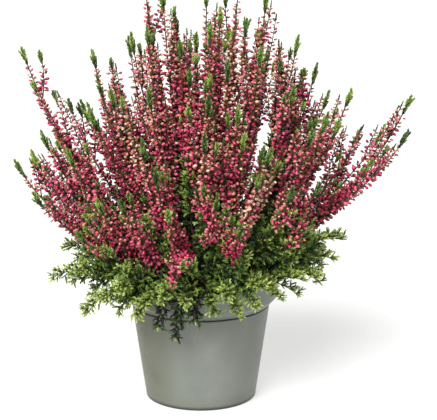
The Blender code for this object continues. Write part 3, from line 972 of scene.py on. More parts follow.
@dataclass
class Layout:
    """Where every shoot runs: planned from its tip, then settled clear of the others and the pot.

    Its steps and sizes are those of the CAD source, so both give the same lines.
    """

    pot: Pot
    compost: Compost
    root_share: float = 0.24
    root_spread: float = 38.0 * MM
    root_limit: float = 47.0 * MM
    stem_foot: float = 3.0 * MM
    stem_hole_depth: float = 11.0 * MM
    fork_at: float = 0.28
    fork_step: float = 0.10
    handle_share: float = 0.36
    most_lean: float = math.radians(150)
    spray_clearance: float = 0.9 * MM
    pot_clearance: float = 3.8 * MM
    # From the rim's radius, where the floor under the shoots changes its level
    rim_zone: tuple[float, ...] = (-14 * MM, -7 * MM, 2 * MM, 10 * MM)
    rounds: int = 80
    rounds_paired: int = 8
    pace: float = 0.9
    smoothing: int = 2
    watched_distance: float = 35.0 * MM
    free_fork_points: int = 3
    fork_fade_points: int = 4
    shoots: list[Shoot] = field(default_factory=list)

    def grow(self) -> list[Shoot]:
        """Plans and settles all shoots.

        Returns:
            The shoots, each spray's main one first.
        """
        self.plan()
        self.settle()
        return self.shoots

    def leaning(self, outward: np.ndarray, lean: float) -> np.ndarray:
        """A unit direction that leans from upright towards the outward direction."""
        across = math.sin(lean)
        return np.array([outward[0] * across, outward[1] * across, math.cos(lean)])

    def course(
        self, start: np.ndarray, tip: np.ndarray, start_lean: float, end_lean: float, count: int
    ) -> np.ndarray:
        """Draws a smooth line from start to tip.

        Args:
            start: The line's first point.
            tip: Its last point.
            start_lean: Its lean at the start, as a share of the straight line's own.
            end_lean: Its lean at the tip, likewise.
            count: How many points it has.

        Returns:
            The points of a cubic Bezier curve.
        """
        chord = tip - start
        length = np.linalg.norm(chord)
        across = np.linalg.norm(chord[:2])
        outward = chord[:2] / max(across, 1 * MM)
        lean = math.atan2(across, chord[2])
        handle = length * self.handle_share
        start_handle = start + self.leaning(outward, lean * start_lean) * handle
        end_handle = tip - self.leaning(outward, min(lean * end_lean, self.most_lean)) * handle
        t = np.linspace(0, 1, count)[:, None]
        return (
            (1 - t) ** 3 * start
            + 3 * (1 - t) ** 2 * t * start_handle
            + 3 * (1 - t) * t**2 * end_handle
            + t**3 * tip
        )

    def root_place(self, tips: np.ndarray, spread: float) -> np.ndarray:
        """Finds where a spray's stem leaves the compost: under its tips, drawn in to the middle.

        Args:
            tips: The tips of its shoots.
            spread: How much wider than usual its kind stands.

        Returns:
            The place.
        """
        across = np.mean(tips, axis=0)[:2] * self.root_share
        across *= spread * min(1.0, self.root_spread / np.linalg.norm(across))
        return np.array([across[0], across[1], self.compost.height_at(*across)])

    def habit_of(self, spray: int) -> Habit:
        """The habit of a spray, by its place in the two lists taken together."""
        leafy = HANGING if spray < len(FLOWERING_SPRAYS) + HANGING_SPRAYS else UPRIGHT
        return FLOWERING if spray < len(FLOWERING_SPRAYS) else leafy

    def plan(self) -> None:
        """Draws every shoot's first line, before they make room for each other."""
        for spray, listed in enumerate(FLOWERING_SPRAYS + LEAFY_SPRAYS):
            habit = self.habit_of(spray)
            tips = np.array(listed, float) * MM
            root = self.root_place(tips, habit.root_spread)
            foot = root + (0, 0, self.stem_foot)
            count = habit.course_points
            above = self.course(foot, tips[0], habit.start_lean, habit.end_lean, count)
            sunk = root - (0, 0, self.stem_hole_depth)
            main_shoot = Shoot(spray, habit, np.vstack([sunk, above]))
            self.shoots.append(main_shoot)
            for k, tip in enumerate(tips[1:]):
                fork = round((self.fork_at + self.fork_step * k) * count)
                start = main_shoot.points[fork]
                side = self.course(start, tip, 1.0, habit.end_lean, count - fork)
                self.shoots.append(Shoot(spray, habit, side, main_shoot, fork))

    def nearest_between(
        self, a0: np.ndarray, a1: np.ndarray, b0: np.ndarray, b1: np.ndarray
    ) -> tuple[np.ndarray, np.ndarray, np.ndarray]:
        """Finds where pairs of segments are closest.

        Args:
            a0: First ends of the first segments.
            a1: Their last ends.
            b0: First ends of the second segments.
            b1: Their last ends.

        Returns:
            The share along each first segment, the share along each second one, and the vector
            from the second's place to the first's.
        """
        d1, d2, r = a1 - a0, b1 - b0, a0 - b0
        a = np.einsum("ij,ij->i", d1, d1) + 1e-12
        e = np.einsum("ij,ij->i", d2, d2) + 1e-12
        f = np.einsum("ij,ij->i", d2, r)
        c = np.einsum("ij,ij->i", d1, r)
        b = np.einsum("ij,ij->i", d1, d2)
        s = np.clip((b * f - c * e) / (a * e - b * b + 1e-15), 0, 1)
        t = np.clip((b * s + f) / e, 0, 1)
        s = np.clip((b * t - c) / a, 0, 1)
        return s, t, (a0 + d1 * s[:, None]) - (b0 + d2 * t[:, None])

    def gather_segments(self) -> list[np.ndarray]:
        """Lists all segments of all shoots.

        Returns:
            For each, its first point's row, its shoot, its spray, its order and if it is a side.
        """
        rows, at = [], 0
        for number, shoot in enumerate(self.shoots):
            is_side = shoot.main is not None
            for order in range(len(shoot.points) - 1):
                rows.append((at + order, number, shoot.spray, order, is_side))
            at += len(shoot.points)
        return [np.array(column) for column in zip(*rows)]

    def neighbours(
        self, points: np.ndarray, segments: list[np.ndarray]
    ) -> tuple[np.ndarray, np.ndarray]:
        """Pairs the segments near enough to need watching, fresh forks of a spray left out.

        Args:
            points: All points of all shoots.
            segments: What gather_segments returns.

        Returns:
            The numbers of each pair's first and second segments.
        """
        first, shoot_of, spray_of, order, side = segments
        middle = (points[first] + points[first + 1]) / 2
        apart = np.linalg.norm(middle[:, None] - middle[None], axis=2)
        i, j = np.nonzero(np.triu(apart < self.watched_distance, 1))
        fresh = side & (order < self.free_fork_points)
        past_fork = ~fresh[i] & ~fresh[j]
        keep = (spray_of[i] != spray_of[j]) | ((shoot_of[i] != shoot_of[j]) & past_fork)
        return i[keep], j[keep]

    def crowding_push(
        self,
        points: np.ndarray,
        room: np.ndarray,
        first: np.ndarray,
        pairs: tuple[np.ndarray, np.ndarray],
    ) -> np.ndarray:
        """Works out how far each point has to move so that shoots stay clear of each other.

        Args:
            points: All points of all shoots.
            room: The radius that each keeps clear.
            first: The row of each segment's first point.
            pairs: The numbers of each watched pair's segments.

        Returns:
            The move of each point.
        """
        i, j = first[pairs[0]], first[pairs[1]]
        s, t, gap = self.nearest_between(points[i], points[i + 1], points[j], points[j + 1])
        distance = np.linalg.norm(gap, axis=1)
        needed = np.maximum(room[i], room[i + 1])
        needed = needed + np.maximum(room[j], room[j + 1]) + self.spray_clearance
        short = np.clip(needed - distance, 0, None)
        direction = gap / np.maximum(distance, 1e-6)[:, None]
        push = direction * (short * 0.5)[:, None]
        moved = np.zeros_like(points)
        np.add.at(moved, i, push * (1 - s)[:, None])
        np.add.at(moved, i + 1, push * s[:, None])
        np.add.at(moved, j, -push * (1 - t)[:, None])
        np.add.at(moved, j + 1, -push * t[:, None])
        return moved

    def pot_push(self, points: np.ndarray, room: np.ndarray) -> np.ndarray:
        """Works out how far each point has to rise to pass over the compost and the pot's rim.

        Args:
            points: All points of all shoots.
            room: The radius that each keeps clear.

        Returns:
            The move of each point.
        """
        pot, radius = self.pot, np.linalg.norm(points[:, :2], axis=1)
        across = [pot.rim_radius + off for off in self.rim_zone]
        earth_top_and_painted_shade = self.compost.edge_height + self.compost.mound
        levels = (earth_top_and_painted_shade, pot.height, pot.height, pot.collar_foot_height)
        floor = np.interp(radius, across, levels) + room + self.pot_clearance
        rise = np.where(radius < across[-1], np.clip(floor - points[:, 2], 0, None), 0)
        return rise[:, None] * (0, 0, 1)

    def smoothed(self, push: np.ndarray) -> np.ndarray:
        """Spreads a push along its shoot, so that a bent stem stays a smooth curve.

        Args:
            push: The move of each of its points.

        Returns:
            The smoothed moves.
        """
        for _ in range(self.smoothing):
            padded = np.vstack([push[:1], push, push[-1:]])
            push = 0.25 * padded[:-2] + 0.5 * padded[1:-1] + 0.25 * padded[2:]
        return push

    def move_shoot(self, shoot: Shoot, push: np.ndarray) -> None:
        """Moves a shoot by a smoothed push. A main stem's foot moves as one, in the compost.

        Args:
            shoot: The shoot.
            push: The move of each of its points.
        """
        push = push * self.pace
        if shoot.main is not None:
            shoot.points = shoot.points + self.smoothed(push)
            return
        foot = (push[0] + push[1]) * (0.5, 0.5, 0)
        push[:2] = foot
        push[2:] = self.smoothed(push)[2:]
        shoot.points = shoot.points + push
        reach = np.linalg.norm(shoot.points[0, :2])
        shoot.points[:2, :2] *= min(1.0, self.root_limit / max(reach, 1 * MM))

    def rejoin(self, shoot: Shoot) -> None:
        """Brings a side shoot's first points back to its place on the main stem.

        Args:
            shoot: The side shoot.
        """
        drift = shoot.main.points[shoot.fork] - shoot.points[0]
        fade = np.clip(1 - np.arange(len(shoot.points)) / self.fork_fade_points, 0, 1)
        shoot.points = shoot.points + drift * fade[:, None]

    def settle(self) -> None:
        """Bends the shoots clear of each other, of the pot and of the compost."""
        segments = self.gather_segments()
        starts = np.cumsum([0] + [len(shoot.points) for shoot in self.shoots])
        room = np.concatenate([shoot.room for shoot in self.shoots])
        for turn in range(self.rounds):
            points = np.vstack([shoot.points for shoot in self.shoots])
            if turn % self.rounds_paired == 0:
                pairs = self.neighbours(points, segments)
            push = self.crowding_push(points, room, segments[0], pairs)
            push = push + self.pot_push(points, room)
            for shoot, start, end in zip(self.shoots, starts, starts[1:]):
                self.move_shoot(shoot, push[start:end])
            for shoot in self.shoots:
                if shoot.main is not None:
                    self.rejoin(shoot)


class Line:
    """A smooth line through a shoot's points, measured by the distance from its first."""

    # How far to each side of a place the line's direction is taken from
    half_step: float = 1.5 * MM

    def __init__(self, points: np.ndarray) -> None:
        """Rounds the line through its points.

        Args:
            points: The line's points, one row each.
        """
        padded = np.vstack([2 * points[0] - points[1], points, 2 * points[-1] - points[-2]])
        a, b, c, d = padded[:-3], padded[1:-2], padded[2:-1], padded[3:]
        parts = []
        for t in (0.0, 0.25, 0.5, 0.75):
            bend = (c - a) * t + (2 * a - 5 * b + 4 * c - d) * t**2
            parts.append(b + 0.5 * (bend + (3 * b - a - 3 * c + d) * t**3))
        fine = np.stack(parts, axis=1).reshape(-1, 3)
        self.points = np.vstack([fine, points[-1]])
        steps = np.linalg.norm(np.diff(self.points, axis=0), axis=1)
        self.reach = np.concatenate([[0.0], np.cumsum(steps)])
        self.length = float(self.reach[-1])

    def place(self, distance: float) -> Vector:
        """The place at a distance along the line."""
        return Vector(np.interp(distance, self.reach, self.points[:, k]) for k in range(3))

    def direction(self, distance: float) -> Vector:
        """The unit direction of the line at a distance along it."""
        near = min(max(distance, self.half_step), self.length - self.half_step)
        return (self.place(near + self.half_step) - self.place(near - self.half_step)).normalized()


def around(direction: Vector, angle: float) -> Vector:
    """A unit vector square to a direction, turned round it by an angle."""
    return Quaternion(direction, angle) @ direction.orthogonal().normalized()


def standing(place: Vector, direction: Vector, roll: float, size: float) -> Matrix:
    """Sets a part on its foot.

    Args:
        place: Where its foot is.
        direction: Where its own Z points.
        roll: Its turn round that.
        size: Its scale.

    Returns:
        The matrix that takes it there from the origin.
    """
    facing = direction.to_track_quat("Z", "Y").to_matrix().to_4x4()
    turn = Matrix.Rotation(roll, 4, "Z")
    return Matrix.Translation(place) @ facing @ turn @ Matrix.Scale(size, 4)


def lofted(
    rings: Sequence[Matrix], sides: int, ages: Sequence[float], point: float, tissue: Tissue
) -> bmesh.types.BMesh:
    """Grows a closed body through a row of rings.

    Args:
        rings: What each ring is, as the matrix that a circle of radius 1 is placed by.
        sides: How many corners each ring has.
        ages: The age at each ring.
        point: How far a point stands beyond the last ring, as a share of that ring's radius.
        tissue: The material of its faces.

    Returns:
        The body, with smooth faces that point outwards.
    """
    bm = bmesh.new()
    age_layer = bm.verts.layers.float.new(AGE)
    bm.verts.layers.float.new(TINT)
    foot = bmesh.ops.create_circle(bm, cap_ends=True, segments=sides, radius=1.0, matrix=rings[0])
    for vert in foot["verts"]:
        vert[age_layer] = ages[0]
    edges = bm.edges[:]
    for before, ring, age in zip(rings, rings[1:], ages[1:]):
        geometry = bmesh.ops.extrude_edge_only(bm, edges=edges)["geom"]
        verts = [part for part in geometry if isinstance(part, bmesh.types.BMVert)]
        new = set(verts)
        edges = [
            part
            for part in geometry
            if isinstance(part, bmesh.types.BMEdge) and set(part.verts) <= new
        ]
        bmesh.ops.transform(bm, matrix=ring @ before.inverted(), verts=verts)
        for vert in verts:
            vert[age_layer] = age
    cap = bmesh.ops.contextual_create(bm, geom=edges)["faces"]
    if point:
        tip = bmesh.ops.poke(bm, faces=cap, offset=0.0)["verts"]
        bmesh.ops.translate(bm, vec=rings[-1].to_3x3() @ Vector((0, 0, point)), verts=tip)
        for vert in tip:
            vert[age_layer] = ages[-1]
    bmesh.ops.recalc_face_normals(bm, faces=bm.faces)
    for face in bm.faces:
        face.smooth = True
        face.material_index = tissue
    return bm


class Sprig:
    """A small shape that is planted many times."""

    def __init__(self, name: str, bm: bmesh.types.BMesh) -> None:
        """Keeps the shape as a mesh.

        Args:
            name: The mesh's name.
            bm: The shape with its foot at the origin, growing along Z. It is freed.
        """
        self.mesh = bpy.data.meshes.new(name)
        bm.to_mesh(self.mesh)
        bm.free()
        count = len(self.mesh.vertices)
        self.rest = np.empty(count * 3, np.float32)
        self.mesh.vertices.foreach_get("co", self.rest)
        self.blank = np.ones(count, np.float32)

    def plant(self, target: bmesh.types.BMesh, matrix: Matrix, tint: float) -> None:
        """Adds a copy to a bmesh.

        Args:
            target: The bmesh that it joins.
            matrix: Where it stands there.
            tint: Its shade.
        """
        self.mesh.attributes[TINT].data.foreach_set("value", self.blank * tint)
        self.mesh.transform(matrix)
        target.from_mesh(self.mesh, face_normals=False, vertex_normals=False)
        self.mesh.vertices.foreach_set("co", self.rest)

    def discard(self) -> None:
        """Removes the mesh once everything is planted."""
        bpy.data.meshes.remove(self.mesh)


@dataclass
class SprigBox:
    """The repeated parts of the plant: buds, open flowers, scale leaves and leafy twigs."""

    bud_length: float = 4.6 * MM
    bud_width: float = 2.6 * MM
    leaf_length: float = 3.0 * MM
    leaf_width: float = 1.8 * MM
    leaf_flatness: float = 0.65
    twig_stem: float = 0.5 * MM
    long_twig_length: float = 11 * MM
    short_twig_length: float = 7 * MM
    tuft_length: float = 8 * MM

    def __post_init__(self) -> None:
        """Makes each part once."""
        self.bud = Sprig("bud", self.make_bud())
        self.flower = Sprig("flower", self.make_flower())
        self.leaf = Sprig("leaf", self.make_leaf(self.leaf_length, Matrix.Identity(4)))
        self.long_twig = Sprig("long_twig", self.make_twig(self.long_twig_length, 8, 0.2))
        self.short_twig = Sprig("short_twig", self.make_twig(self.short_twig_length, 5, 0.15))
        self.tuft = Sprig("tuft", self.make_twig(self.tuft_length, 6, 0.05))

    def rings(self, sizes: Sequence[tuple[float, float, float]]) -> list[Matrix]:
        """Sets rings on the Z axis.

        Args:
            sizes: The height, radius and turn of each.

        Returns:
            The matrix of each.
        """
        return [
            Matrix.Translation((0, 0, height)) @ Matrix.Rotation(turn, 4, "Z") @ Matrix.Scale(radius, 4)
            for height, radius, turn in sizes
        ]

    def make_bud(self) -> bmesh.types.BMesh:
        """Makes a closed bell of four sepals on a short stalk.

        Returns:
            The bud.
        """
        length, width = self.bud_length, self.bud_width / 2
        sizes = ((0.0, 0.2 * width, 0), (0.42 * length, width, 0.2), (0.8 * length, 0.8 * width, 0.5))
        return lofted(self.rings(sizes), 4, (0.0, 0.5, 0.9), 0.9, Tissue.PETAL)

    def make_flower(self) -> bmesh.types.BMesh:
        """Makes an open bell, whose mouth shows a paler inside.

        Returns:
            The flower.
        """
        length, width = self.bud_length, self.bud_width / 2
        shares = ((0.0, 0.2), (0.45, 0.9), (0.95, 1.25), (0.6, 0.5))
        sizes = [(high * length, wide * width, 0) for high, wide in shares]
        return lofted(self.rings(sizes), 4, (0.0, 0.6, 1.0, 0.7), 0.0, Tissue.PETAL)

    def make_leaf(self, length: float, matrix: Matrix) -> bmesh.types.BMesh:
        """Makes a three-sided pointed scale, flattened from front to back.

        Args:
            length: From its foot to its point.
            matrix: Where it stands.

        Returns:
            The leaf.
        """
        bm = bmesh.new()
        age_layer = bm.verts.layers.float.new(AGE)
        bm.verts.layers.float.new(TINT)
        flat = Matrix.Diagonal((self.leaf_flatness, 1.0, 1.0, 1.0))
        bmesh.ops.create_cone(
            bm,
            cap_ends=True,
            segments=3,
            radius1=self.leaf_width / 2,
            radius2=0.0,
            depth=length,
            matrix=matrix @ Matrix.Translation((0, 0, length / 2)) @ flat,
        )
        bmesh.ops.remove_doubles(bm, verts=bm.verts, dist=MERGE_DISTANCE)
        for vert in bm.verts:
            along = (matrix.inverted() @ vert.co).z / length
            # The leaf's foot gets a low age, which the leaf finish paints dark as shade
            vert[age_layer] = 0.25 + 0.75 * along
        for face in bm.faces:
            face.material_index = Tissue.LEAF
        return bm

    def make_twig(self, length: float, pairs: int, bend: float) -> bmesh.types.BMesh:
        """Makes a leafy twig.

        Args:
            length: From its foot to its tip.
            pairs: How many pairs of leaves it has, each square to the last.
            bend: How far its tip stands off its axis, as a share of its length.

        Returns:
            The twig, growing along Z and bending towards X.
        """
        sizes = ((0.0, self.twig_stem, 0), (length * 0.96, self.twig_stem / 2, 0))
        twig = lofted(self.rings(sizes), 3, (0.0, 0.8), 0.0, Tissue.LEAF)
        for k in range(pairs):
            share = (k + 0.3) / pairs
            for half in (0, 1):
                turn = Matrix.Rotation(math.pi * half + math.pi / 2 * k, 4, "Z")
                open_out = Matrix.Rotation(math.radians(46 - 24 * share), 4, "Y")
                lift = Matrix.Translation((0, 0, length * share * 0.97))
                leaf_length = self.leaf_length * (1.08 - 0.3 * share)
                leaf = self.make_leaf(leaf_length, lift @ turn @ open_out)
                sheet = bpy.data.meshes.new("leaf_part")
                leaf.to_mesh(sheet)
                leaf.free()
                twig.from_mesh(sheet)
                bpy.data.meshes.remove(sheet)
        age_layer = twig.verts.layers.float[AGE]
        for vert in twig.verts:
            share = max(0.0, vert.co.z / length)
            vert.co.x += bend * length * share**2
            # The twig's foot gets a low age, which the leaf finish paints nearly black as shade
            vert[age_layer] = 0.35 * vert[age_layer] + 0.65 * min(1.0, share)
        return twig

    def discard(self) -> None:
        """Removes the parts once everything is planted."""
        for sprig in (self.bud, self.flower, self.leaf, self.long_twig, self.short_twig, self.tuft):
            sprig.discard()


@dataclass(frozen=True)
class Budding:
    """How buds stand on one kind of stem: the gaps at its foot and tip, and their scale."""

    gaps: tuple[float, float]
    size: float


SPIKE_BUDS = Budding((0.75 * MM, 1.9 * MM), 1.12)
SIDE_SPIKE_BUDS = Budding((0.95 * MM, 1.8 * MM), 1.0)
SPIKELET_BUDS = Budding((1.0 * MM, 1.6 * MM), 1.0)


@dataclass(frozen=True)
class Foliage:
    """How leafy twigs stand on one kind of stem: gaps and scales from its foot to its tip, the
    middle of their shades, and how likely each fork of a twig is."""

    gaps: tuple[float, float]
    sizes: tuple[float, float]
    tint: float
    forking: float


FOOT_TWIGS = Foliage((2.2 * MM, 2.6 * MM), (1.0, 0.8), 0.72, 0.6)
# Twigs low inside the plant: their dark tint is painted shade
INNER_TWIGS = Foliage((3.4 * MM, 6 * MM), (1.1, 0.75), 0.28, 0.4)
SKIRT_TWIGS = Foliage((2.1 * MM, 1.6 * MM), (1.1, 0.62), 0.74, 0.7)
STANDING_TWIGS = replace(SKIRT_TWIGS, tint=0.55)
# Twigs that hang under the skirt, in front of the pot: their dark tint is painted shade
SHADE_PAINTED_TWIGS = replace(SKIRT_TWIGS, tint=0.2)


@dataclass
class Spray:
    """One spray in full dress: bark, leaves and buds along its shoots."""

    name: str
    shoots: list[Shoot]
    box: SprigBox
    pot: Pot
    compost: Compost
    seed: int
    leafy_share: float = 0.0
    more_side_spikes: int = 0
    twig_lift: float = 0.2
    green_tip: float = 19.0 * MM
    stem_gap: float = 1.2 * MM
    stem_step: float = 9 * MM
    # How many side spikes stand on a main stem, and on a side one
    side_spikes: tuple[int, int] = (4, 3)
    shortest_side_spike: float = 26 * MM
    spikelets: int = 2
    # The least and the most that each may be, in millimetres
    side_spike_reach: tuple[float, float] = (40, 85)
    side_spike_spread: tuple[float, float] = (8, 18)
    spikelet_reach: tuple[float, float] = (16, 28)
    bare_tip: float = 4 * MM
    flower_share: float = 0.10
    leaf_share: float = 0.7
    # Shades of the leaves between the buds: dry, dark and fresh ones
    leaf_tints: tuple[float, ...] = (0.0, 0.0, 0.05, 0.6, 0.9)
    # Where along a twig it may fork, and the turn of that fork
    forks: tuple[tuple[float, float], ...] = ((0.14, 5.2), (0.26, 0.0), (0.42, 2.1), (0.6, 4.2))
    tuft_shares: tuple[float, ...] = (0.1, 0.2, 0.3, 0.42)
    # The room that is kept clear above the rim, beside the wall and over the compost
    rim_margin: float = 0.6 * MM
    wall_margin: float = 0.8 * MM
    earth_margin: float = 0.5 * MM
    rng: random.Random = field(init=False)
    bm: bmesh.types.BMesh = field(init=False)

    def __post_init__(self) -> None:
        """Starts its own row of random numbers and its mesh."""
        self.rng = random.Random(self.seed)
        self.bm = bmesh.new()

    def build(self, materials: Sequence[bpy.types.Material], slot: str, node: str) -> None:
        """Grows the whole spray as one piece.

        Args:
            materials: The materials of bark, petals and leaves.
            slot: The record's material slot for it.
            node: The CAD node that it stands for.
        """
        for shoot in self.shoots:
            grow = self.grow_spike if shoot.habit.flowering else self.grow_leafy
            grow(shoot, Line(shoot.points))
        piece = add_piece(self.name, self.bm, materials, slot)
        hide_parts(node)

    def plant(
        self, sprig: Sprig, place: Vector, way: Vector, roll: float, size: float, tint: float
    ) -> None:
        """Plants a sprig with its foot at a place and its tip one way, its shade kept from 0 to 1."""
        sprig.plant(self.bm, standing(place, way, roll, size), min(1.0, max(0.0, tint)))

    def bare_length(self, shoot: Shoot, line: Line) -> float:
        """How far up its line a shoot's buds or leaves start, as in the CAD."""
        side = max(shoot.habit.side_bare_share * line.length, shoot.habit.least_bare)
        return shoot.habit.bare_share * line.length if shoot.main is None else side

    def blocked(self, place: Vector) -> bool:
        """Tells whether a place lies in the pot's wall or the compost, or too close to them.

        Args:
            place: The place.

        Returns:
            True if nothing may grow there.
        """
        radius, outside = place.xy.length, self.pot.outside(place.z)
        if place.z > self.pot.height + self.rim_margin or radius > outside + self.wall_margin:
            return False
        if radius > outside - self.pot.wall - self.wall_margin:
            return True
        return place.z < self.compost.height_at(place.x, place.y) + self.earth_margin

    def steps(
        self, start: float, end: float, gaps: tuple[float, float]
    ) -> Iterator[tuple[float, float]]:
        """Walks along a line, a little unevenly.

        Args:
            start: The first distance along it.
            end: Where the walk ends.
            gaps: The steps at the start and at the end.

        Yields:
            Each distance, and its share of the way from start to end.
        """
        at = start
        while at < end:
            share = (at - start) / max(end - start, 1 * MM)
            yield at, share
            at += (gaps[0] + (gaps[1] - gaps[0]) * share) * self.rng.uniform(0.75, 1.25)

    def add_stem(
        self, line: Line, radii: tuple[float, float], sides: int, tissue: Tissue = Tissue.BARK
    ) -> None:
        """Adds a tapering stem with slightly uneven bark.

        Args:
            line: The line that it follows.
            radii: Its radius at the foot and at the tip.
            sides: The corners of its rings.
            tissue: Bark, or leaf for a shoot that is still green.
        """
        end = line.length - self.stem_gap
        count = max(4, round(end / self.stem_step))
        direction = line.direction(0.0)
        facing = direction.to_track_quat("Z", "Y")
        rings = []
        for k in range(count + 1):
            share = k / count
            ahead = line.direction(end * share)
            facing = direction.rotation_difference(ahead) @ facing
            direction = ahead
            radius = radii[0] + (radii[1] - radii[0]) * share
            radius *= self.rng.uniform(0.92, 1.08)
            turn = facing.to_matrix().to_4x4()
            place = Matrix.Translation(line.place(end * share))
            rings.append(place @ turn @ Matrix.Scale(radius, 4))
        ages = [k / count for k in range(count + 1)]
        stem = Sprig("stem", lofted(rings, sides, ages, 1.0, tissue))
        stem.plant(self.bm, Matrix.Identity(4), self.rng.uniform(0.1, 0.6))
        stem.discard()

    def grow_spike(self, shoot: Shoot, line: Line) -> None:
        """Grows a flowering spike: green twigs low down, then buds, then the green tip.

        Args:
            shoot: The spike's shoot.
            line: Its line.
        """
        rng, is_main = self.rng, shoot.main is None
        foot_radius = shoot.habit.root_radius if is_main else 0.9 * MM
        self.add_stem(line, (foot_radius, 0.45 * MM), 6)
        bare = self.bare_length(shoot, line)
        end = line.length - rng.uniform(0.8, 1.1) * self.green_tip
        mood = rng.choices(tuple(Mood), weights=MOOD_WEIGHTS)[0].value
        if self.leafy_share:
            leafy_end = bare + self.leafy_share * (end - bare)
            self.add_twigs(line, bare, leafy_end, FOOT_TWIGS)
            bare = leafy_end - 4 * MM
        flowering = end - bare
        self.add_buds(line, bare, end, SPIKE_BUDS, mood)
        low = 0.14 * line.length if is_main else 0.3 * bare
        self.add_twigs(line, low, bare + 0.3 * flowering, INNER_TWIGS)
        for k in range(self.spikelets):
            at = bare + flowering * (0.02 + 0.3 * (k + rng.random()) / self.spikelets)
            self.add_spikelet(line, at, rng.uniform(*self.spikelet_reach) * MM, mood)
        count = self.side_spikes[0 if is_main else 1] + self.more_side_spikes
        for k in range(count):
            at = bare + flowering * (0.02 + 0.8 * (k + rng.random()) / count)
            to_thin_place = self.more_side_spikes > 0 and k % 2 == 1
            self.add_side_spike(line, at, mood, THIN_PLACE if to_thin_place else None)
        self.add_green_tip(line, end, 1.0)

    def add_buds(
        self, line: Line, start: float, end: float, budding: Budding, mood: float
    ) -> None:
        """Sets buds round a stem, crowded low down and loose under the green tip.

        Args:
            line: The stem's line.
            start: Where they start along it.
            end: Where they end.
            budding: How they stand.
            mood: The shade that they start from.
        """
        rng, box = self.rng, self.box
        turn = rng.uniform(0, math.tau)
        for at, share in self.steps(start, end, budding.gaps):
            turn += GOLDEN_ANGLE + rng.uniform(-0.3, 0.3)
            ahead = line.direction(at)
            tilt = math.radians(rng.uniform(50, 98) - 14 * share)
            way = ahead * math.cos(tilt) + around(ahead, turn) * math.sin(tilt) - UP * 0.10
            grown = budding.size * (1.06 - 0.36 * share**2) * rng.uniform(0.75, 1.16)
            place = line.place(at) + way * rng.uniform(0.1, 1.6) * MM
            if self.blocked(place + way * 5 * MM):
                continue
            tint = mood + rng.gauss(0, 0.22) + 0.3 * share**4
            # Near the tip more than half of the buds are still brown
            if share > 0.8 and rng.random() < 0.6:
                tint = rng.gauss(0.8, 0.05)
            sprig = box.flower if rng.random() < self.flower_share else box.bud
            self.plant(sprig, place, way, rng.uniform(0, math.tau), grown, tint)
            if rng.random() < self.leaf_share:
                side = around(ahead, turn + 1.3)
                leaf_way = ahead + side * rng.uniform(0.8, 1.8)
                foot, size = line.place(at) + side * MM, rng.uniform(0.8, 1.3)
                self.plant(box.leaf, foot, leaf_way, turn, size, rng.choice(self.leaf_tints))

    def add_spikelet(self, line: Line, at: float, length: float, mood: float) -> None:
        """Adds a short side spike with its own buds and a leafy end.

        Args:
            line: The main stem's line.
            at: Where it leaves that.
            length: How long it is.
            mood: The shade of its buds.
        """
        rng = self.rng
        ahead = line.direction(at)
        out = around(ahead, rng.uniform(0, math.tau))
        start = line.place(at)
        way = (ahead * 0.75 + out * 0.66 + UP * 0.15).normalized()
        bend = start + way * length * 0.5
        tip = bend + (way * 0.6 + ahead * 0.5 + UP * 0.25).normalized() * length * 0.5
        if self.blocked(tip) or self.blocked(bend):
            return
        side = Line(np.array([start, bend, tip]))
        self.add_stem(side, (0.5 * MM, 0.3 * MM), 4)
        end = side.length - self.bare_tip
        self.add_buds(side, 4 * MM, end, SPIKELET_BUDS, mood + rng.gauss(0, 0.1))
        foot, way = side.place(side.length - 5 * MM), side.direction(side.length)
        self.plant(self.box.tuft, foot, way, rng.random(), 1.0, rng.uniform(0.1, 0.8))

    def add_side_spike(
        self, line: Line, at: float, mood: float, towards: Vector | None = None
    ) -> None:
        """Adds a long side spike that soon runs beside its stem and ends in a green tip.

        Args:
            line: The main stem's line.
            at: Where it leaves that.
            mood: The shade of its buds.
            towards: The upright line that it leans to, or None for any side but outwards.
        """
        rng = self.rng
        length = min(rng.uniform(*self.side_spike_reach) * MM, 0.8 * (line.length - at))
        if length < self.shortest_side_spike:
            return
        out = around(line.direction(at), rng.uniform(0, math.tau))
        end = line.place(at + length)
        away = Vector((end.x, end.y, 0.0))
        if towards is not None:
            out = (towards - away).normalized()
        elif out.dot(away.normalized()) > 0.2:
            out.negate()
        spread = rng.uniform(*self.side_spike_spread) * MM
        shares = ((0.0, 0.0), (0.25, 0.45), (0.6, 0.85), (1.0, 1.0))
        points = [line.place(at + length * up) + out * spread * off for up, off in shares]
        if any(self.blocked(point) for point in points[1:]):
            return
        side = Line(np.array(points))
        self.add_stem(side, (0.6 * MM, 0.35 * MM), 5)
        tip = rng.uniform(9, 15) * MM if rng.random() < 0.3 else self.bare_tip
        end = side.length - tip
        self.add_buds(side, 7 * MM, end, SIDE_SPIKE_BUDS, mood + rng.gauss(0, 0.14))
        if tip > self.bare_tip:
            self.add_green_tip(side, end, 0.85)
        else:
            way = side.direction(side.length)
            roll, tint = rng.random(), rng.uniform(0.1, 0.5)
            self.plant(self.box.tuft, side.place(end), way, roll, 0.75, tint)

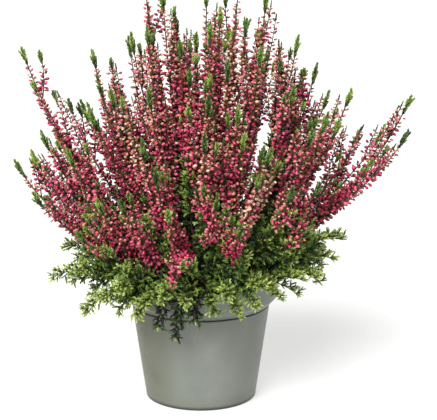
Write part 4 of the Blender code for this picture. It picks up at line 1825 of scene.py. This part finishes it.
    def add_twigs(self, line: Line, start: float, end: float, foliage: Foliage) -> None:
        """Sets leafy twigs round a stem, as a feather.

        Args:
            line: The stem's line.
            start: Where they start along it.
            end: Where they end.
            foliage: How they stand.
        """
        rng, box, sizes = self.rng, self.box, foliage.sizes
        turn = rng.uniform(0, math.tau)
        for at, share in self.steps(start, end, foliage.gaps):
            turn += GOLDEN_ANGLE + rng.uniform(-0.3, 0.3)
            ahead, place = line.direction(at), line.place(at)
            size = (sizes[0] + (sizes[1] - sizes[0]) * share) * rng.uniform(0.8, 1.2)
            for attempt in range(4):
                out = around(ahead, turn + attempt * 1.5)
                way = (ahead * 0.75 + out * 0.72 + UP * self.twig_lift).normalized()
                if not (self.blocked(place + way * 12 * MM * size) or self.blocked(place)):
                    break
            else:
                continue
            # Twigs are painted darker towards the stem's foot, as painted shade inside the plant
            shade = foliage.tint - 0.4 * (1 - share) + rng.gauss(0, 0.14)
            shade = min(1.0, max(0.15, shade))
            self.plant(box.long_twig, place, way, rng.uniform(0, math.tau), size, shade)
            for part, spin in self.forks:
                if rng.random() < foliage.forking:
                    foot = place + way * box.long_twig_length * size * part
                    fork = (way + around(way, turn + spin) * 0.9).normalized()
                    if not self.blocked(foot + fork * box.short_twig_length * size):
                        roll = rng.uniform(0, math.tau)
                        self.plant(box.short_twig, foot, fork, roll, size, shade + 0.08)

    def add_green_tip(self, line: Line, start: float, size: float) -> None:
        """Adds the growing end of a spike, a club of close scale leaves with a few tufts.

        Args:
            line: The spike's line.
            start: Where the green starts along it.
            size: The scale of its leaves.
        """
        rng, end = self.rng, line.length
        turn = rng.uniform(0, math.tau)
        shade = rng.uniform(0.26, 0.58)
        for at, _ in self.steps(start + 1 * MM, end - 0.6 * MM, (0.62 * MM, 0.42 * MM)):
            share = (at - start) / (end - start)
            turn += GOLDEN_ANGLE
            ahead = line.direction(at)
            way = (ahead + around(ahead, turn) * (0.95 - 0.6 * share)).normalized()
            grown = size * (1.0 + 0.5 * math.sin(math.pi * share)) * rng.uniform(0.9, 1.15)
            tint = shade + 0.1 * share + rng.gauss(0, 0.12)
            self.plant(self.box.leaf, line.place(at), way, rng.uniform(0, math.tau), grown, tint)
        for share in self.tuft_shares:
            at = start + (end - start) * share
            turn += GOLDEN_ANGLE
            ahead = line.direction(at)
            way = (ahead + around(ahead, turn) * 0.3).normalized()
            grown, roll = size * rng.uniform(0.9, 1.25), rng.uniform(0, math.tau)
            self.plant(self.box.tuft, line.place(at), way, roll, grown, shade + 0.1)

    def grow_leafy(self, shoot: Shoot, line: Line) -> None:
        """Grows a leafy shoot: a bare foot, then a feather of twigs up to its tip.

        Args:
            shoot: The shoot.
            line: Its line.
        """
        foot_radius = 0.9 * MM if shoot.main is None else 0.7 * MM
        self.add_stem(line, (foot_radius, 0.35 * MM), 5, Tissue.LEAF)
        bare = self.bare_length(shoot, line) * 0.75
        foliage = STANDING_TWIGS if shoot.habit is UPRIGHT else SKIRT_TWIGS
        # A shoot that hangs below the collar takes the dark twigs painted as shade
        if line.place(line.length).z < self.pot.collar_foot_height:
            foliage = SHADE_PAINTED_TWIGS
        self.add_twigs(line, bare, line.length - 3 * MM, foliage)
        place, way = line.place(line.length - 6 * MM), line.direction(line.length)
        self.plant(self.box.short_twig, place, way, 0.0, 0.85, 0.85)


@dataclass
class Heather:
    """The whole plant, spray by spray."""

    pot: Pot
    compost: Compost
    first_seed: int = 1000
    lifted: float = 0.9
    more_when_bushy: int = 2

    def build(self) -> None:
        """Settles the shoots and dresses every spray."""
        shoots = Layout(self.pot, self.compost).grow()
        log.info("settled %d shoots", len(shoots))
        materials = [finish.material() for finish in (YOUNG_BARK, PETAL, SCALE_LEAF)]
        box = SprigBox()
        for spray in range(len(FLOWERING_SPRAYS) + len(LEAFY_SPRAYS)):
            own = [shoot for shoot in shoots if shoot.spray == spray]
            common = {"shoots": own, "box": box, "pot": self.pot, "compost": self.compost}
            common["seed"] = self.first_seed + spray
            if spray < len(FLOWERING_SPRAYS):
                number = spray + 1
                node, slot = f"flowering_spray_{number:02d}", "heather_bloom"
                leafy_share = LEAFY_FEET.get(number, 0.0)
                more = self.more_when_bushy if number in BUSHY_SPRAYS else 0
                dressed = Spray(
                    node + "_in_bloom", leafy_share=leafy_share, more_side_spikes=more, **common
                )
            else:
                number = spray + 1 - len(FLOWERING_SPRAYS)
                node, slot = f"leafy_spray_{number:02d}", "heather_leaf"
                dressed = Spray(node + "_in_leaf", **common)
                if number in LIFTED_SPRAYS:
                    dressed.twig_lift = self.lifted
            dressed.build(materials, slot, node)
        box.discard()


def main() -> None:
    """Builds the studio, the pot, the compost and the plant, and notes the sizes."""
    logging.basicConfig(level=logging.INFO, format="%(name)s: %(message)s")
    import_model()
    Studio().build()
    pot = Pot()
    pot.build()
    compost = Compost(pot)
    compost.build()
    Heather(pot, compost).build()
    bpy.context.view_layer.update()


if __name__ == "__main__":
    main()
